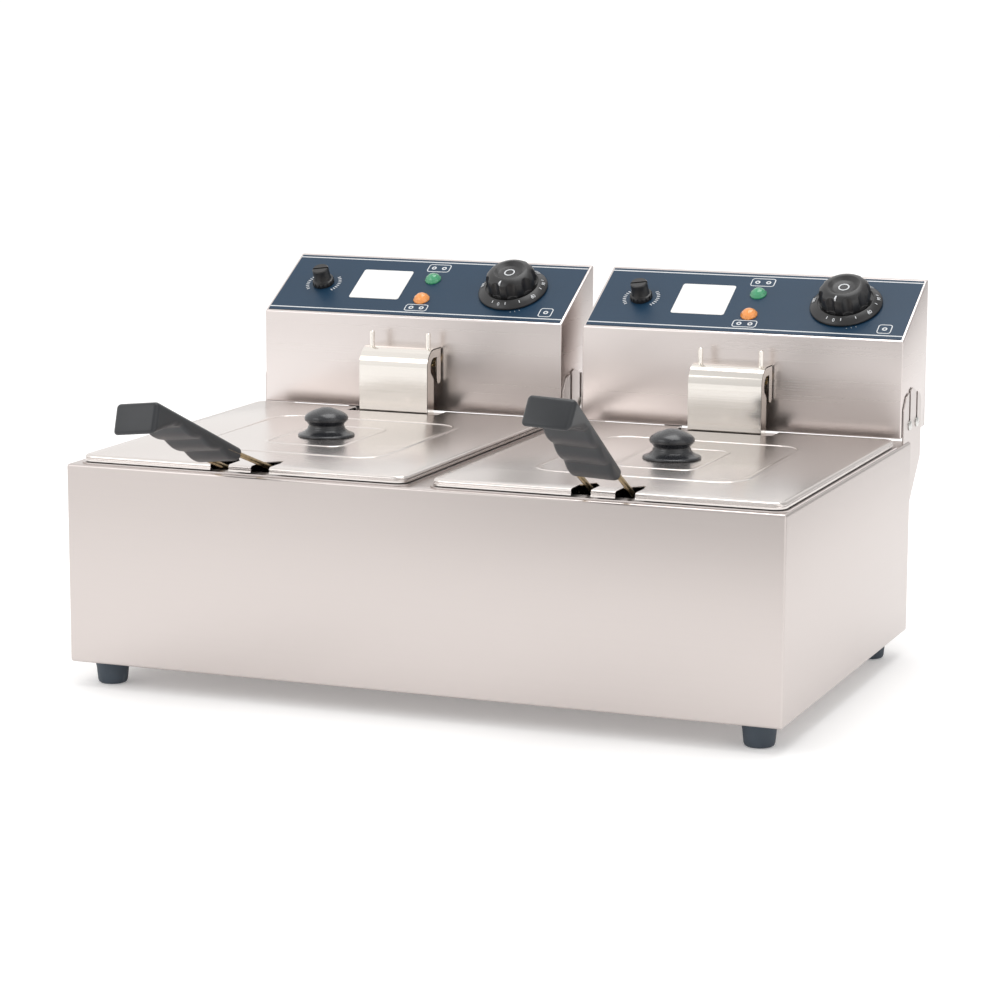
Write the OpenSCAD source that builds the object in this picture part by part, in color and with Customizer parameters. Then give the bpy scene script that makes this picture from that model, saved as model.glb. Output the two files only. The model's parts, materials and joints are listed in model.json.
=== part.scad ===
// Twin-tank countertop deep fryer: one steel case with two lift-out oil tanks, each with
// its own lift-off control head and heating element, wire basket and lid.
// X runs to the right, Y to the back, Z up. The origin is on the worktop, at the centre of the
// whole fryer's outline.

/* [Case] */
// Width of the case
case_w = 550; // [530:5:620]
// Depth of the case, front to back
case_d = 340; // [330:5:380]
// Height of the case without its feet
case_h = 149; // [145:1:180]
// Thickness of the case's sheet steel
sheet_t = 1; // [0.8:0.1:1.5]
// Height of the rubber feet
foot_h = 18; // [12:1:30]
// Foot diameter at the case
foot_top_d = 26; // [22:1:34]
// Foot diameter at the worktop
foot_base_d = 22; // [18:1:30]

/* [Tanks and lids] */
// Distance between the two tanks' centres
tank_pitch = 278; // [276:1:284]
// Distance of the pair of tanks to the right of the case's centre
tank_offset = 3; // [0:0.5:3]
// Outer width of the tank's rim
rim_w = 263; // [256:1:264]
// Inner width of the tank
tank_w = 224; // [215:1:230]
// Depth of the tank below the deck
tank_depth = 141; // [130:1:144]
// Width of the lid
lid_w = 259; // [250:1:261]
// Height of the lid's top over the deck
lid_rise = 6.8; // [6:0.2:12]
// Diameter of the lid knob's flange
lid_knob_d = 43.5; // [36:0.5:50]

/* [Control heads] */
// Width of one control head
head_w = 260; // [250:1:261]
// Depth of the control head
head_d = 75; // [70:1:80]
// How far the control head reaches behind the case
head_overhang = 55; // [45:1:58]
// Height of the head's front face
head_face_h = 75; // [65:1:90]
// Length of the sloping control panel
panel_len = 83; // [80:1:84]
// Slope of the control panel
panel_slope = 29; // [26:0.5:30]
// Diameter of the thermostat knob's skirt
dial_d = 57; // [50:1:60]
// Height of the thermostat knob
dial_h = 20; // [16:1:24]

/* [Baskets] */
// Outer width of the wire basket
basket_w = 198; // [180:1:204]
// Height of the wire basket
basket_h = 96; // [80:1:100]
// Length of the handle's grip
grip_len = 104; // [96:1:108]
// Width of the handle's grip
grip_w = 36.5; // [36:0.5:40]
// Slope of the right handle's wires
wire_slope = 29.5; // [26:0.5:32]
// How much flatter the left handle lies than the right one
left_drop = 8.5; // [5:0.5:9]
// How far the left handle leans to the left
left_lean = 5.4; // [3:0.1:6]
// How far the left handle is rolled, with its right edge up
left_roll = 6.5; // [0:0.5:7]
// How far the right handle leans to the left
right_lean = 1.5; // [0:0.5:3]
// How far the right handle is rolled, with its left edge up
right_roll = 2.5; // [0:0.5:4]
// Diameter of the handle wires
wire_d = 4; // [3.5:0.1:4]
// Diameter of the heating element's tube
element_d = 8; // [6.5:0.5:8.5]

/* [Hidden] */
$fn = 48;

// handle wires: they stand against the basket's front and turn forward at a knuckle above it
wire_x = 15.5;
wire_in = 42;
left_knuckle = 4.5;
right_knuckle = 2.2;

// grip, measured forward of and above the point midway between the two knuckles
grip_low = [44.5, 31.2];
grip_nose = [152, 77.2];
grip_slope = 34.7;
grip_t = 9.5;
finger_rise = 3;
finger_count = 4;

// main levels and faces; the left handle reaches furthest forward
nose_height = grip_nose[1] * cos(left_drop) - grip_nose[0] * sin(left_drop);
nose_side = grip_w / 2 * cos(left_roll) - nose_height * sin(left_roll);
handle_reach = (grip_nose[0] * cos(left_drop) + grip_nose[1] * sin(left_drop)) * cos(left_lean)
    + nose_side * sin(left_lean) - wire_in;
front_y = handle_reach - (handle_reach + case_d + head_overhang) / 2;
back_y = front_y + case_d;
deck_z = foot_h + case_h;
left_x = tank_offset - tank_pitch / 2;
right_x = tank_offset + tank_pitch / 2;

// tank
tank_wall = 0.8;
flange_t = 1.2;
rim_front = front_y + 3.5;
rim_back = front_y + 311.5;
tank_front = front_y + 15;
tank_back = front_y + 304;
tank_floor_z = deck_z - tank_depth;
tank_r = 14;
rim_r = 10;

// lid
lid_t = 0.8;
lid_front = front_y + 5;
lid_back = front_y + 306;
lid_r = 9;
lid_z = deck_z + flange_t + 0.2;
lid_top = deck_z + lid_rise;
lid_mid = (lid_front + lid_back) / 2;
notch_w = 14.6;
notch_x = 16.2;
notch_d = 19;
notch_tip = 30;
shield_notch_w = 80;
knob_hole_r = 2.1;

// element shield and its place on the head's face
shield_x = -2;
shield_w = 59;
shield_t = 1.2;
shield_y = front_y + 288.5;
shield_low = deck_z - 7;
shield_top = deck_z + 57.6;
shield_r = 14.6;
shield_flange = 14;

// control head
head_y = back_y + head_overhang - head_d;
head_z = deck_z + 4.5;
head_t = 1;
panel_z = head_z + head_face_h;
panel_run = panel_len * cos(panel_slope);
panel_rise = panel_len * sin(panel_slope);
overlay_t = 0.4;
dial_x = 74.5;
dial_s = 43;
reset_x = -93.5;
reset_s = 41.5;
lamp_x = 0.5;
green_s = 53;
amber_s = 25;
lamp_r = 6;
shaft_r = 3;
neck_r = 4.5;
plunger_r = 1.5;
running_gap = 0.05;
cap_d = 14.6;
cap_h = 14;

// element and sensors
element_z = deck_z + 47;
element_leg_x = 22;
element_y = front_y + 298;
element_floor_z = tank_floor_z + 14;
element_side_x = 80;
element_front = front_y + 92;
element_rear = front_y + 250;

// hangers and studs
hanger_gap = 0.4;
hanger_t = 1;
stud_r = 2.1;
slot_r = 2.3;
stud_z = deck_z + 12.5;
stud_ys = [back_y, back_y + 22];
stud_head_r = 4;
stud_head_h = 1.6;

// basket
basket_front = front_y + 44;
basket_back = front_y + 270;
basket_z = tank_floor_z + 36;
mesh_t = 1.6;
rim_wire_d = 5;
hoop_d = 4;
basket_top = basket_z + basket_h;
wire_y = front_y + wire_in;

gland_r = 4.6;
gland_x = -70;
gland_y = back_y + head_overhang - 25;
gland_l = 15;
foot_inset = 23;
foot_bore_r = 2.1;

// ---- shared shapes ----

// rectangle with round corners, from its low corner
module round_rect(x, y, w, d, r) {
    translate([x + r, y]) square([w - 2 * r, d]);
    translate([x, y + r]) square([w, d - 2 * r]);
    for (cx = [x + r, x + w - r], cy = [y + r, y + d - r])
        translate([cx, cy]) circle(r);
}

// straight rod between two points that differ along one axis only
module rod(a, b, r) {
    d = b - a;
    turn = abs(d[2]) > 0 ? (d[2] > 0 ? [0, 0, 0] : [180, 0, 0])
         : abs(d[1]) > 0 ? (d[1] > 0 ? [-90, 0, 0] : [90, 0, 0])
         : (d[0] > 0 ? [0, 90, 0] : [0, -90, 0]);
    translate(a) rotate(turn) cylinder(h = norm(d), r = r);
}

// quarter or half bend of a rod, lying flat, swept from the +X side
module bend(bend_r, rod_r, sweep) {
    rotate_extrude(angle = sweep) translate([bend_r, 0]) circle(rod_r);
}

// closed loop of rod with round corners, lying flat
module rod_loop(x, y, z, w, d, corner, r) {
    rod([x + corner, y, z], [x + w - corner, y, z], r);
    rod([x + corner, y + d, z], [x + w - corner, y + d, z], r);
    rod([x, y + corner, z], [x, y + d - corner, z], r);
    rod([x + w, y + corner, z], [x + w, y + d - corner, z], r);
    translate([x + w - corner, y + d - corner, z]) bend(corner, r, 90);
    translate([x + corner, y + d - corner, z]) rotate([0, 0, 90]) bend(corner, r, 90);
    translate([x + corner, y + corner, z]) rotate([0, 0, 180]) bend(corner, r, 90);
    translate([x + w - corner, y + corner, z]) rotate([0, 0, 270]) bend(corner, r, 90);
}

// outline in Y and Z, given width along X and centred on x
module across(x, w) {
    translate([x - w / 2, 0, 0]) rotate([90, 0, 90]) linear_extrude(w) children();
}

// places a shape on the sloping panel: x from the head's centre, s up the slope
module on_panel(cx, x, s) {
    translate([cx + x, head_y, panel_z]) rotate([panel_slope, 0, 0]) translate([0, s, 0])
        children();
}

// ---- case ----

module case_shell() {
    lip = 14;
    color("lightgray") difference() {
        union() {
            translate([-case_w / 2, front_y, foot_h]) cube([case_w, sheet_t, case_h]);
            for (x = [-case_w / 2, case_w / 2 - sheet_t])
                translate([x, front_y, foot_h]) cube([sheet_t, case_d, case_h]);
            translate([-case_w / 2, front_y, foot_h]) cube([case_w, lip, sheet_t]);
            for (x = [-case_w / 2, case_w / 2 - lip])
                translate([x, front_y, foot_h]) cube([lip, case_d, sheet_t]);
        }
        foot_holes();
    }
}

module foot_holes() {
    for (x = foot_xs(), y = foot_ys())
        translate([x, y, foot_h - 1]) cylinder(h = 2 * sheet_t + 2, r = foot_bore_r);
}

function foot_xs() = [-case_w / 2 + foot_inset, case_w / 2 - foot_inset];
function foot_ys() = [front_y + foot_inset, back_y - foot_inset];

module top_deck() {
    brim = 9;
    color("silver") difference() {
        translate([-case_w / 2 + sheet_t, front_y + sheet_t, deck_z - sheet_t])
            cube([case_w - 2 * sheet_t, case_d - sheet_t, sheet_t]);
        for (x = [left_x, right_x])
            translate([0, 0, deck_z - 2]) linear_extrude(4)
                round_rect(x - tank_w / 2 - brim, tank_front - brim / 2, tank_w + 2 * brim,
                           tank_back - tank_front + 0.8 * brim, tank_r + 3);
    }
}

module bottom_plate() {
    color("darkgray") difference() {
        translate([-case_w / 2 + sheet_t + 1, front_y + sheet_t + 1, foot_h + sheet_t])
            cube([case_w - 2 * sheet_t - 2, case_d - 2 * sheet_t - 2, sheet_t]);
        foot_holes();
    }
}

module rear_panel() {
    color("silver") difference() {
        translate([-case_w / 2 + sheet_t, back_y - sheet_t, foot_h + 2 * sheet_t])
            cube([case_w - 2 * sheet_t, sheet_t, case_h - 3 * sheet_t]);
        for (p = hanger_screw_points())
            translate([p[0], back_y + 1, p[1]]) rotate([90, 0, 0]) cylinder(h = 4, r = 1.6);
    }
}

// outer faces of the four hanger plates, with the side of the head they stand on
function hanger_places() = [for (x = [left_x, right_x], side = [-1, 1])
    [x + side * (head_w / 2 + hanger_gap + hanger_t / 2), side]];

function hanger_screw_points() = [for (h = hanger_places(), z = [-22, -46])
    [h[0] - h[1] * 8, deck_z + z]];

module hanger_outline() {
    difference() {
        union() {
            polygon([[back_y, deck_z - 54], [back_y + 36, deck_z - 16],
                     [back_y + 36, deck_z + 26], [back_y + 28, deck_z + 35],
                     [back_y + 8, deck_z + 41], [back_y - 10, deck_z + 36],
                     [back_y - 18, deck_z + 26], [back_y - 18, deck_z], [back_y, deck_z]]);
            translate([back_y + 26, deck_z + 25]) circle(10);
        }
        for (y = stud_ys) {
            translate([y, stud_z]) circle(slot_r);
            translate([y - slot_r, stud_z]) square([2 * slot_r, 40]);
        }
    }
}

module head_hangers() {
    flange_w = 14;
    color("lightgray") for (h = hanger_places()) {
        difference() {
            union() {
                across(h[0], hanger_t) hanger_outline();
                translate([h[1] > 0 ? h[0] - flange_w : h[0], back_y, deck_z - 54])
                    cube([flange_w, sheet_t, 40]);
            }
            for (z = [-22, -46])
                translate([h[0] - h[1] * 8, back_y + 3, deck_z + z]) rotate([90, 0, 0])
                    cylinder(h = 4, r = 1.6);
        }
    }
}

module hanger_screws() {
    color("gray") for (p = hanger_screw_points())
        translate([p[0], back_y, p[1]]) rotate([90, 0, 0]) {
            translate([0, 0, -sheet_t - 1.8]) cylinder(h = 1.8, r = 3);
            translate([0, 0, -sheet_t]) cylinder(h = 6, r = 1.5);
        }
}

module rubber_feet() {
    color([0.3, 0.34, 0.38]) for (x = foot_xs(), y = foot_ys())
        translate([x, y, 0]) difference() {
            cylinder(h = foot_h, r1 = foot_base_d / 2, r2 = foot_top_d / 2);
            translate([0, 0, -1]) cylinder(h = 10, r = 5.5);
            cylinder(h = foot_h + 1, r = foot_bore_r);
        }
}

module foot_screws() {
    color("gray") for (x = foot_xs(), y = foot_ys())
        translate([x, y, 0]) {
            translate([0, 0, 6.2]) cylinder(h = 2.8, r = 4);
            translate([0, 0, 9]) cylinder(h = foot_h - 1, r = 2);
            translate([0, 0, foot_h + 2 * sheet_t]) cylinder(h = 3, r = 4, $fn = 6);
        }
}

// ---- tank and lid ----

module oil_tank(cx) {
    inner_d = tank_back - tank_front;
    color("silver") difference() {
        union() {
            translate([0, 0, tank_floor_z]) linear_extrude(tank_depth)
                round_rect(cx - tank_w / 2 - tank_wall, tank_front - tank_wall,
                           tank_w + 2 * tank_wall, inner_d + 2 * tank_wall, tank_r);
            translate([0, 0, deck_z]) linear_extrude(flange_t)
                round_rect(cx - rim_w / 2, rim_front, rim_w, rim_back - rim_front, rim_r);
        }
        translate([0, 0, tank_floor_z + tank_wall]) linear_extrude(tank_depth + 5)
            round_rect(cx - tank_w / 2, tank_front, tank_w, inner_d, tank_r - tank_wall);
    }
}

module lid_outline(cx, inset) {
    round_rect(cx - lid_w / 2 + inset, lid_front + inset, lid_w - 2 * inset,
               lid_back - lid_front - 2 * inset, lid_r - inset);
}

module lid_cutouts(cx) {
    for (side = [-1, 1])
        translate([cx + side * notch_x, lid_front]) {
            translate([-notch_w / 2, -1]) square([notch_w, notch_d + 1]);
            polygon([[-notch_w / 2, notch_d], [notch_w / 2, notch_d], [2 * side, notch_tip]]);
        }
    translate([cx + shield_x - shield_notch_w / 2, shield_y - 5])
        square([shield_notch_w, lid_back - shield_y + 6]);
}

// raised ring pressed into the lid's top
module lid_ring(cx, w, d, r, band) {
    translate([0, 0, lid_top]) linear_extrude(0.6) difference() {
        round_rect(cx - w / 2, lid_mid - d / 2, w, d, r);
        round_rect(cx - w / 2 + band, lid_mid - d / 2 + band, w - 2 * band, d - 2 * band,
                   r - band);
    }
}

module lid(cx) {
    color("gainsboro") {
        difference() {
            translate([0, 0, lid_z]) linear_extrude(lid_top - lid_z) lid_outline(cx, 0);
            translate([0, 0, lid_z - 1]) linear_extrude(lid_top - lid_z + 1 - lid_t)
                lid_outline(cx, lid_t);
            translate([0, 0, lid_z - 1]) linear_extrude(12) lid_cutouts(cx);
            translate([cx, lid_mid, lid_z]) cylinder(h = 12, r = knob_hole_r);
        }
        lid_ring(cx, 156, 172, 22, 5);
        lid_ring(cx, 66, 96, 12, 3);
    }
}

module lid_knob(cx) {
    neck = lid_knob_d * 0.31;
    cap = lid_knob_d * 0.388;
    color([0.17, 0.18, 0.19]) translate([cx, lid_mid, lid_top]) difference() {
        rotate_extrude($fn = 64) polygon([
            [0, 0], [lid_knob_d / 2 - 0.6, 0], [lid_knob_d / 2, 0.8], [lid_knob_d / 2, 1.6],
            [lid_knob_d / 2 - 3, 2.6], [neck + 2.5, 4.4], [neck + 0.6, 6], [neck, 7.2],
            [neck, 9], [neck + 1.4, 10.6], [cap - 0.8, 13], [cap, 14.2], [cap - 0.6, 15.6],
            [cap - 4, 18.2], [cap - 9, 20.4], [4, 21.8], [0, 22]]);
        translate([0, 0, -1]) cylinder(h = 13, r = knob_hole_r);
    }
}

module lid_knob_screw(cx) {
    color("gray") translate([cx, lid_mid, lid_top]) {
        translate([0, 0, -lid_t - 2]) cylinder(h = 2, r = 4.2);
        translate([0, 0, -lid_t]) cylinder(h = 11, r = 2);
    }
}

// ---- basket ----

module basket_mesh(cx) {
    color([0.75, 0.75, 0.74]) difference() {
        translate([0, 0, basket_z]) linear_extrude(basket_h)
            round_rect(cx - basket_w / 2, basket_front, basket_w,
                       basket_back - basket_front, 12);
        translate([0, 0, basket_z + mesh_t]) linear_extrude(basket_h)
            round_rect(cx - basket_w / 2 + mesh_t, basket_front + mesh_t,
                       basket_w - 2 * mesh_t, basket_back - basket_front - 2 * mesh_t,
                       12 - mesh_t);
    }
}

// wire hoop that runs down one side of the basket, under it and up the other side
module basket_hoop(cx, y) {
    r = hoop_d / 2;
    out = basket_w / 2 + r;
    low = basket_z - r;
    for (side = [-1, 1]) {
        rod([cx + side * out, y, low], [cx + side * out, y, basket_top], r);
        translate([cx + side * out, y, low]) sphere(r + 0.2);
    }
    rod([cx - out, y, low], [cx + out, y, low], r);
}

module basket_frame(cx) {
    hook_w = 40;
    rim_r = rim_wire_d / 2;
    color([0.78, 0.77, 0.74]) {
        rod_loop(cx - basket_w / 2 + rim_r, basket_front + rim_r, basket_top + rim_r,
                 basket_w - rim_wire_d, basket_back - basket_front - rim_wire_d, 10, rim_r);
        for (y = [basket_front + 60, basket_back - 60]) basket_hoop(cx, y);
        for (side = [-1, 1])
            rod([cx + shield_x + side * hook_w / 2, basket_back - rim_r, basket_top + rim_r],
                [cx + shield_x + side * hook_w / 2, basket_back + 12, basket_top + rim_r],
                hoop_d / 2);
        rod([cx + shield_x - hook_w / 2 - 2, basket_back + 12, basket_top + rim_r],
            [cx + shield_x + hook_w / 2 + 2, basket_back + 12, basket_top + rim_r],
            hoop_d / 2);
    }
}

// tilt, roll and lean of a side's handle
function handle_turn(side) =
    side < 0 ? [left_drop, -left_roll, -left_lean] : [0, right_roll, -right_lean];

// height of the point midway between a side's knuckles over the top of the basket
function knuckle_rise(side) = side < 0 ? left_knuckle : right_knuckle;

// height of one knuckle, x to the side of the handle's middle
function knuckle_z(x, side) =
    basket_top + knuckle_rise(side) - x * tan(handle_turn(side)[1]);

// places a shape at a knuckle, turned with its handle
module at_knuckle(cx, x, side) {
    translate([cx + x, wire_y, knuckle_z(x, side)]) rotate(handle_turn(side)) children();
}

// run of a wire along its slope, starting some way from its knuckle
module wire_run(from, length, r) {
    rotate([90 - wire_slope, 0, 0]) translate([0, 0, from]) cylinder(h = length, r = r);
}

// each wire stands against the basket's front wall, turns at a welded knuckle and climbs to
// the grip
module handle_wires(cx, side) {
    r = wire_d / 2;
    low = basket_z + 20;
    color([0.72, 0.62, 0.42]) for (x = [-wire_x, wire_x]) {
        translate([cx + x, wire_y, low]) cylinder(h = knuckle_z(x, side) - low, r = r);
        translate([cx + x, wire_y, knuckle_z(x, side)]) sphere(r + 0.2);
        at_knuckle(cx, x, side) wire_run(0, 79, r);
    }
}

// point on the grip's outline: along its slope from the lower end, and down from its top line
function grip_point(along, down) = [
    -grip_low[0] - along * cos(grip_slope) - down * sin(grip_slope),
    grip_low[1] + along * sin(grip_slope) - down * cos(grip_slope)];

// underside of the grip: one low wave for each finger
function finger_depth(along) =
    grip_t + finger_rise * abs(sin(180 * finger_count * along / grip_len));

module grip_outline() {
    steps = 32;
    nose_y = -grip_nose[0];
    nose_z = grip_nose[1];
    underside = [for (i = [0:steps]) let (a = 6 + (grip_len - 26) * i / steps)
        grip_point(a, finger_depth(a))];
    polygon(concat(
        [grip_point(0, 1.5), grip_point(0, 6), grip_point(2, 8.6)],
        underside,
        [[nose_y + 30, nose_z - 5.5], [nose_y + 7, nose_z - 4.5], [nose_y + 2, nose_z - 3.2],
         [nose_y, nose_z], [nose_y + 0.6, nose_z + 2.6], [nose_y + 12, nose_z + 15.2],
         [nose_y + 15, nose_z + 16.6], [nose_y + 18, nose_z + 16.4]],
        [grip_point(grip_len - 2, 0), grip_point(1.5, 0)]));
}

module handle_grip(cx, side) {
    color([0.27, 0.28, 0.29]) difference() {
        at_knuckle(cx, 0, side) across(0, grip_w) grip_outline();
        for (x = [-wire_x, wire_x])
            at_knuckle(cx, x, side) wire_run(34, 45.2, wire_d / 2 + 0.05);
    }
}

// ---- control head ----

// outline of the head in Y and Z; past moves the open back and bottom outwards
module head_outline(inset, past) {
    polygon([
        [head_y + inset, head_z - past],
        [head_y + inset, panel_z - inset * tan(panel_slope / 2)],
        [head_y + panel_run - inset * tan(panel_slope / 2), panel_z + panel_rise - inset],
        [head_y + head_d + past, panel_z + panel_rise - inset],
        [head_y + head_d + past, head_z - past]]);
}

module head_shell(cx) {
    color("lightgray") difference() {
        across(cx, head_w) head_outline(0, 0);
        across(cx, head_w - 2 * head_t) head_outline(head_t, 1);
        panel_holes(cx);
        for (side = [-1, 1])
            translate([cx + shield_x + side * element_leg_x, head_y - 1, element_z])
                rotate([-90, 0, 0]) cylinder(h = 4, r = element_d / 2 + 0.1);
        for (y = stud_ys)
            translate([cx - head_w / 2 - 1, y, stud_z]) rotate([0, 90, 0])
                cylinder(h = head_w + 2, r = stud_r + 0.05);
    }
}

module panel_holes(cx) {
    on_panel(cx, dial_x, dial_s) translate([0, 0, -3]) cylinder(h = 6, r = shaft_r + 1);
    on_panel(cx, reset_x, reset_s) translate([0, 0, -3]) cylinder(h = 6, r = neck_r + 0.1);
    for (s = [green_s, amber_s])
        on_panel(cx, lamp_x, s) translate([0, 0, -3]) cylinder(h = 6, r = lamp_r + 0.1);
}

module head_back_cover(cx) {
    inner_w = head_w - 2 * head_t - 0.2;
    height = panel_z + panel_rise - head_z - head_t - 0.2;
    color("silver") difference() {
        union() {
            translate([cx - inner_w / 2, head_y + head_d - head_t, head_z])
                cube([inner_w, head_t, height]);
            translate([cx - inner_w / 2, head_y + head_t + 0.1, head_z])
                cube([inner_w, head_d - head_t - 0.1, head_t]);
        }
        for (i = [-4:4])
            translate([cx + 40 + i * 9, head_y + head_d - 3, head_z + 60]) cube([4, 5, 24]);
        translate([cx + gland_x, gland_y, head_z - 1]) cylinder(h = 4, r = 7.1);
    }
}

module panel_overlay(cx) {
    color([0.2, 0.3, 0.4]) difference() {
        on_panel(cx, -head_w / 2 + 2, 2) cube([head_w - 4, panel_len - 4, overlay_t]);
        panel_holes(cx);
    }
}

module thermostat_knob(cx) {
    body_r = dial_d * 0.36;
    color([0.14, 0.14, 0.15]) on_panel(cx, dial_x, dial_s)
        translate([0, 0, overlay_t + 0.4]) difference() {
            rotate_extrude($fn = 72) polygon([
                [0, 0], [dial_d / 2, 0], [dial_d / 2, 1.2], [body_r + 1.5, 4.5],
                [body_r, 4.5], [body_r - 1, dial_h - 2.6], [body_r - 3, dial_h],
                [0, dial_h]]);
            translate([0, 0, dial_h - 2.4]) cylinder(h = 4, r = body_r - 8);
            for (i = [0:7]) rotate([0, 0, i * 45 + 12])
                translate([body_r + 2, 0, 7]) cylinder(h = dial_h, r = 4.2);
            translate([0, 0, -1]) cylinder(h = dial_h - 5, r = shaft_r + running_gap);
        }
}

module thermostat(cx) {
    color("dimgray") on_panel(cx, dial_x, dial_s) {
        translate([-18, -16, -28]) cube([36, 32, 26.6]);
        translate([0, 0, -1.4]) cylinder(h = dial_h - 4.5, r = shaft_r);
    }
}

module lamp(cx, s, tint) {
    color(tint) on_panel(cx, lamp_x, s) {
        translate([0, 0, -22]) cylinder(h = 22 + overlay_t, r = lamp_r);
        translate([0, 0, overlay_t]) rotate_extrude() polygon([
            [0, 0], [7, 0], [7, 1.4], [6.2, 3.4], [4.4, 5], [0, 5.8]]);
    }
}

module reset_cap(cx) {
    color([0.12, 0.12, 0.13]) on_panel(cx, reset_x, reset_s)
        translate([0, 0, overlay_t + 0.3]) difference() {
            cylinder(h = cap_h, r = cap_d / 2);
            translate([0, 0, -1]) cylinder(h = cap_h - 2, r = neck_r + running_gap);
            translate([-cap_d, -0.9, cap_h - 1.6]) cube([2 * cap_d, 1.8, 3]);
            for (i = [0:11]) rotate([0, 0, i * 30])
                translate([cap_d / 2 + 0.5, 0, 3]) cylinder(h = cap_h, r = 1, $fn = 16);
        }
}

module limiter(cx) {
    color("saddlebrown") on_panel(cx, reset_x, reset_s) difference() {
        union() {
            translate([-15, -15, -26]) cube([30, 30, 24.6]);
            translate([0, 0, -1.4]) cylinder(h = 9.4, r = neck_r);
        }
        translate([0, 0, -8]) cylinder(h = 20, r = plunger_r + running_gap);
    }
}

module reset_button(cx) {
    color("red") on_panel(cx, reset_x, reset_s)
        translate([0, 0, -5]) cylinder(h = 14.5, r = plunger_r);
}

// ---- element and its shield ----

// half of the element: from its terminal down the tank's back wall, out to the side, forward,
// round the front turn and back to the middle, with a welded knuckle at each joint
module element_half(side) {
    r = element_d / 2;
    turn_r = element_side_x / 3;
    leg = side * element_leg_x;
    out = side * element_side_x;
    path = [[leg, head_y + 12, element_z], [leg, element_y, element_z],
            [leg, element_y, element_floor_z], [out, element_y, element_floor_z],
            [out, element_front, element_floor_z]];
    for (i = [1:len(path) - 1]) {
        rod(path[i - 1], path[i], r);
        translate(path[i]) sphere(r + 0.2);
    }
    translate([side * (element_side_x - turn_r), element_front, element_floor_z])
        rotate([0, 0, 180]) bend(turn_r, r, 180);
    rod([side * turn_r, element_front, element_floor_z],
        [side * turn_r, element_rear, element_floor_z], r);
    for (y = [element_front, element_rear])
        translate([side * turn_r, y, element_floor_z]) sphere(r + 0.2);
}

module heating_element(cx) {
    color([0.45, 0.43, 0.4]) translate([cx + shield_x, 0, 0]) {
        for (side = [-1, 1]) element_half(side);
        translate([0, element_rear, element_floor_z]) bend(element_side_x / 3, element_d / 2, 180);
    }
}

module element_nuts(cx) {
    color("goldenrod") for (side = [-1, 1])
        translate([cx + shield_x + side * element_leg_x, head_y, element_z])
            rotate([90, 0, 0]) difference() {
                union() {
                    cylinder(h = 6, r = 6, $fn = 6);
                    translate([0, 0, 6]) cylinder(h = 3, r = 5);
                }
                translate([0, 0, -1]) cylinder(h = 12, r = element_d / 2 + 0.05);
            }
}

// side cheek of the shield: a band round its bend and a leg behind it
module shield_cheek() {
    cy = shield_y + shield_r;
    cz = shield_top - shield_r;
    band = 7;
    difference() {
        intersection() {
            translate([cy, cz]) circle(shield_r);
            translate([cy - shield_r, cz]) square([shield_r, shield_r]);
        }
        translate([cy, cz]) circle(shield_r - band);
    }
    translate([cy, shield_top - band]) square([head_y - 3 - cy, band]);
    translate([head_y - 11, deck_z + 32]) square([8, shield_top - deck_z - 32]);
    translate([head_y - 7, deck_z + 32]) circle(4);
}

module element_shield(cx) {
    cy = shield_y + shield_r;
    cz = shield_top - shield_r;
    x = cx + shield_x;
    color("gainsboro") {
        across(x, shield_w) {
            translate([shield_y, shield_low]) square([shield_t, cz - shield_low]);
            difference() {
                intersection() {
                    translate([cy, cz]) circle(shield_r);
                    translate([cy - shield_r, cz]) square([shield_r, shield_r]);
                }
                translate([cy, cz]) circle(shield_r - shield_t);
            }
            translate([cy, shield_top - shield_t]) square([head_y - cy, shield_t]);
        }
        for (side = [-1, 1])
            translate([x + side * (shield_w - shield_t) / 2, 0, 0]) {
                across(0, shield_t) {
                    translate([shield_y, shield_low]) square([shield_flange, cz - shield_low]);
                    shield_cheek();
                }
            }
        for (side = [-1, 1])
            translate([x + side * 24.5, cy, shield_top - 0.4]) cylinder(h = 12.4, r = 2);
    }
}

module hanger_studs(cx) {
    color("silver") for (side = [-1, 1], y = stud_ys)
        translate([cx + side * (head_w / 2 - head_t), y, stud_z]) rotate([0, side * 90, 0]) {
            cylinder(h = head_t + hanger_gap + hanger_t + 0.2, r = stud_r);
            translate([0, 0, -2]) cylinder(h = 2, r = 4, $fn = 6);
            translate([0, 0, head_t + hanger_gap + hanger_t + 0.2])
                cylinder(h = stud_head_h - 0.2, r1 = stud_head_r, r2 = stud_head_r - 1.2);
        }
}

module cord_gland(cx) {
    color([0.1, 0.1, 0.1]) translate([cx + gland_x, gland_y, head_z]) difference() {
        union() {
            translate([0, 0, -3]) cylinder(h = 3, r = 10);
            translate([0, 0, -12]) cylinder(h = 10, r1 = 6.4, r2 = 8);
            cylinder(h = 3, r = 7);
        }
        translate([0, 0, -20]) cylinder(h = 30, r = gland_r);
    }
}

module terminal_block(cx) {
    color("ivory") translate([cx - 30, head_y + 36, head_z + head_t]) difference() {
        cube([60, 22, 20]);
        for (i = [0:4]) translate([10 + i * 10, 6, 12]) cylinder(h = 12, r = 2.6);
    }
}

module sensor_bulbs(cx) {
    bulb_z = tank_floor_z + 40;
    stem_z = element_z + 2;
    bulb_y = element_y - 1;
    color([0.72, 0.45, 0.3]) for (side = [-1, 1])
        translate([cx + shield_x + side * 8, 0, 0]) {
            rod([0, bulb_y, bulb_z], [0, bulb_y, bulb_z + 85], 3);
            rod([0, bulb_y, bulb_z + 85], [0, bulb_y, stem_z - 6], 1.2);
            translate([0, bulb_y + 6, stem_z - 6]) rotate([0, 0, 90]) rotate([90, 0, 0])
                rotate([0, 0, 90]) bend(6, 1.2, 90);
            rod([0, bulb_y + 6, stem_z], [0, head_y, stem_z], 1.2);
        }
}

// ---- nodes ----

case_shell();
top_deck();
bottom_plate();
rear_panel();
head_hangers();
hanger_screws();
rubber_feet();
foot_screws();

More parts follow.
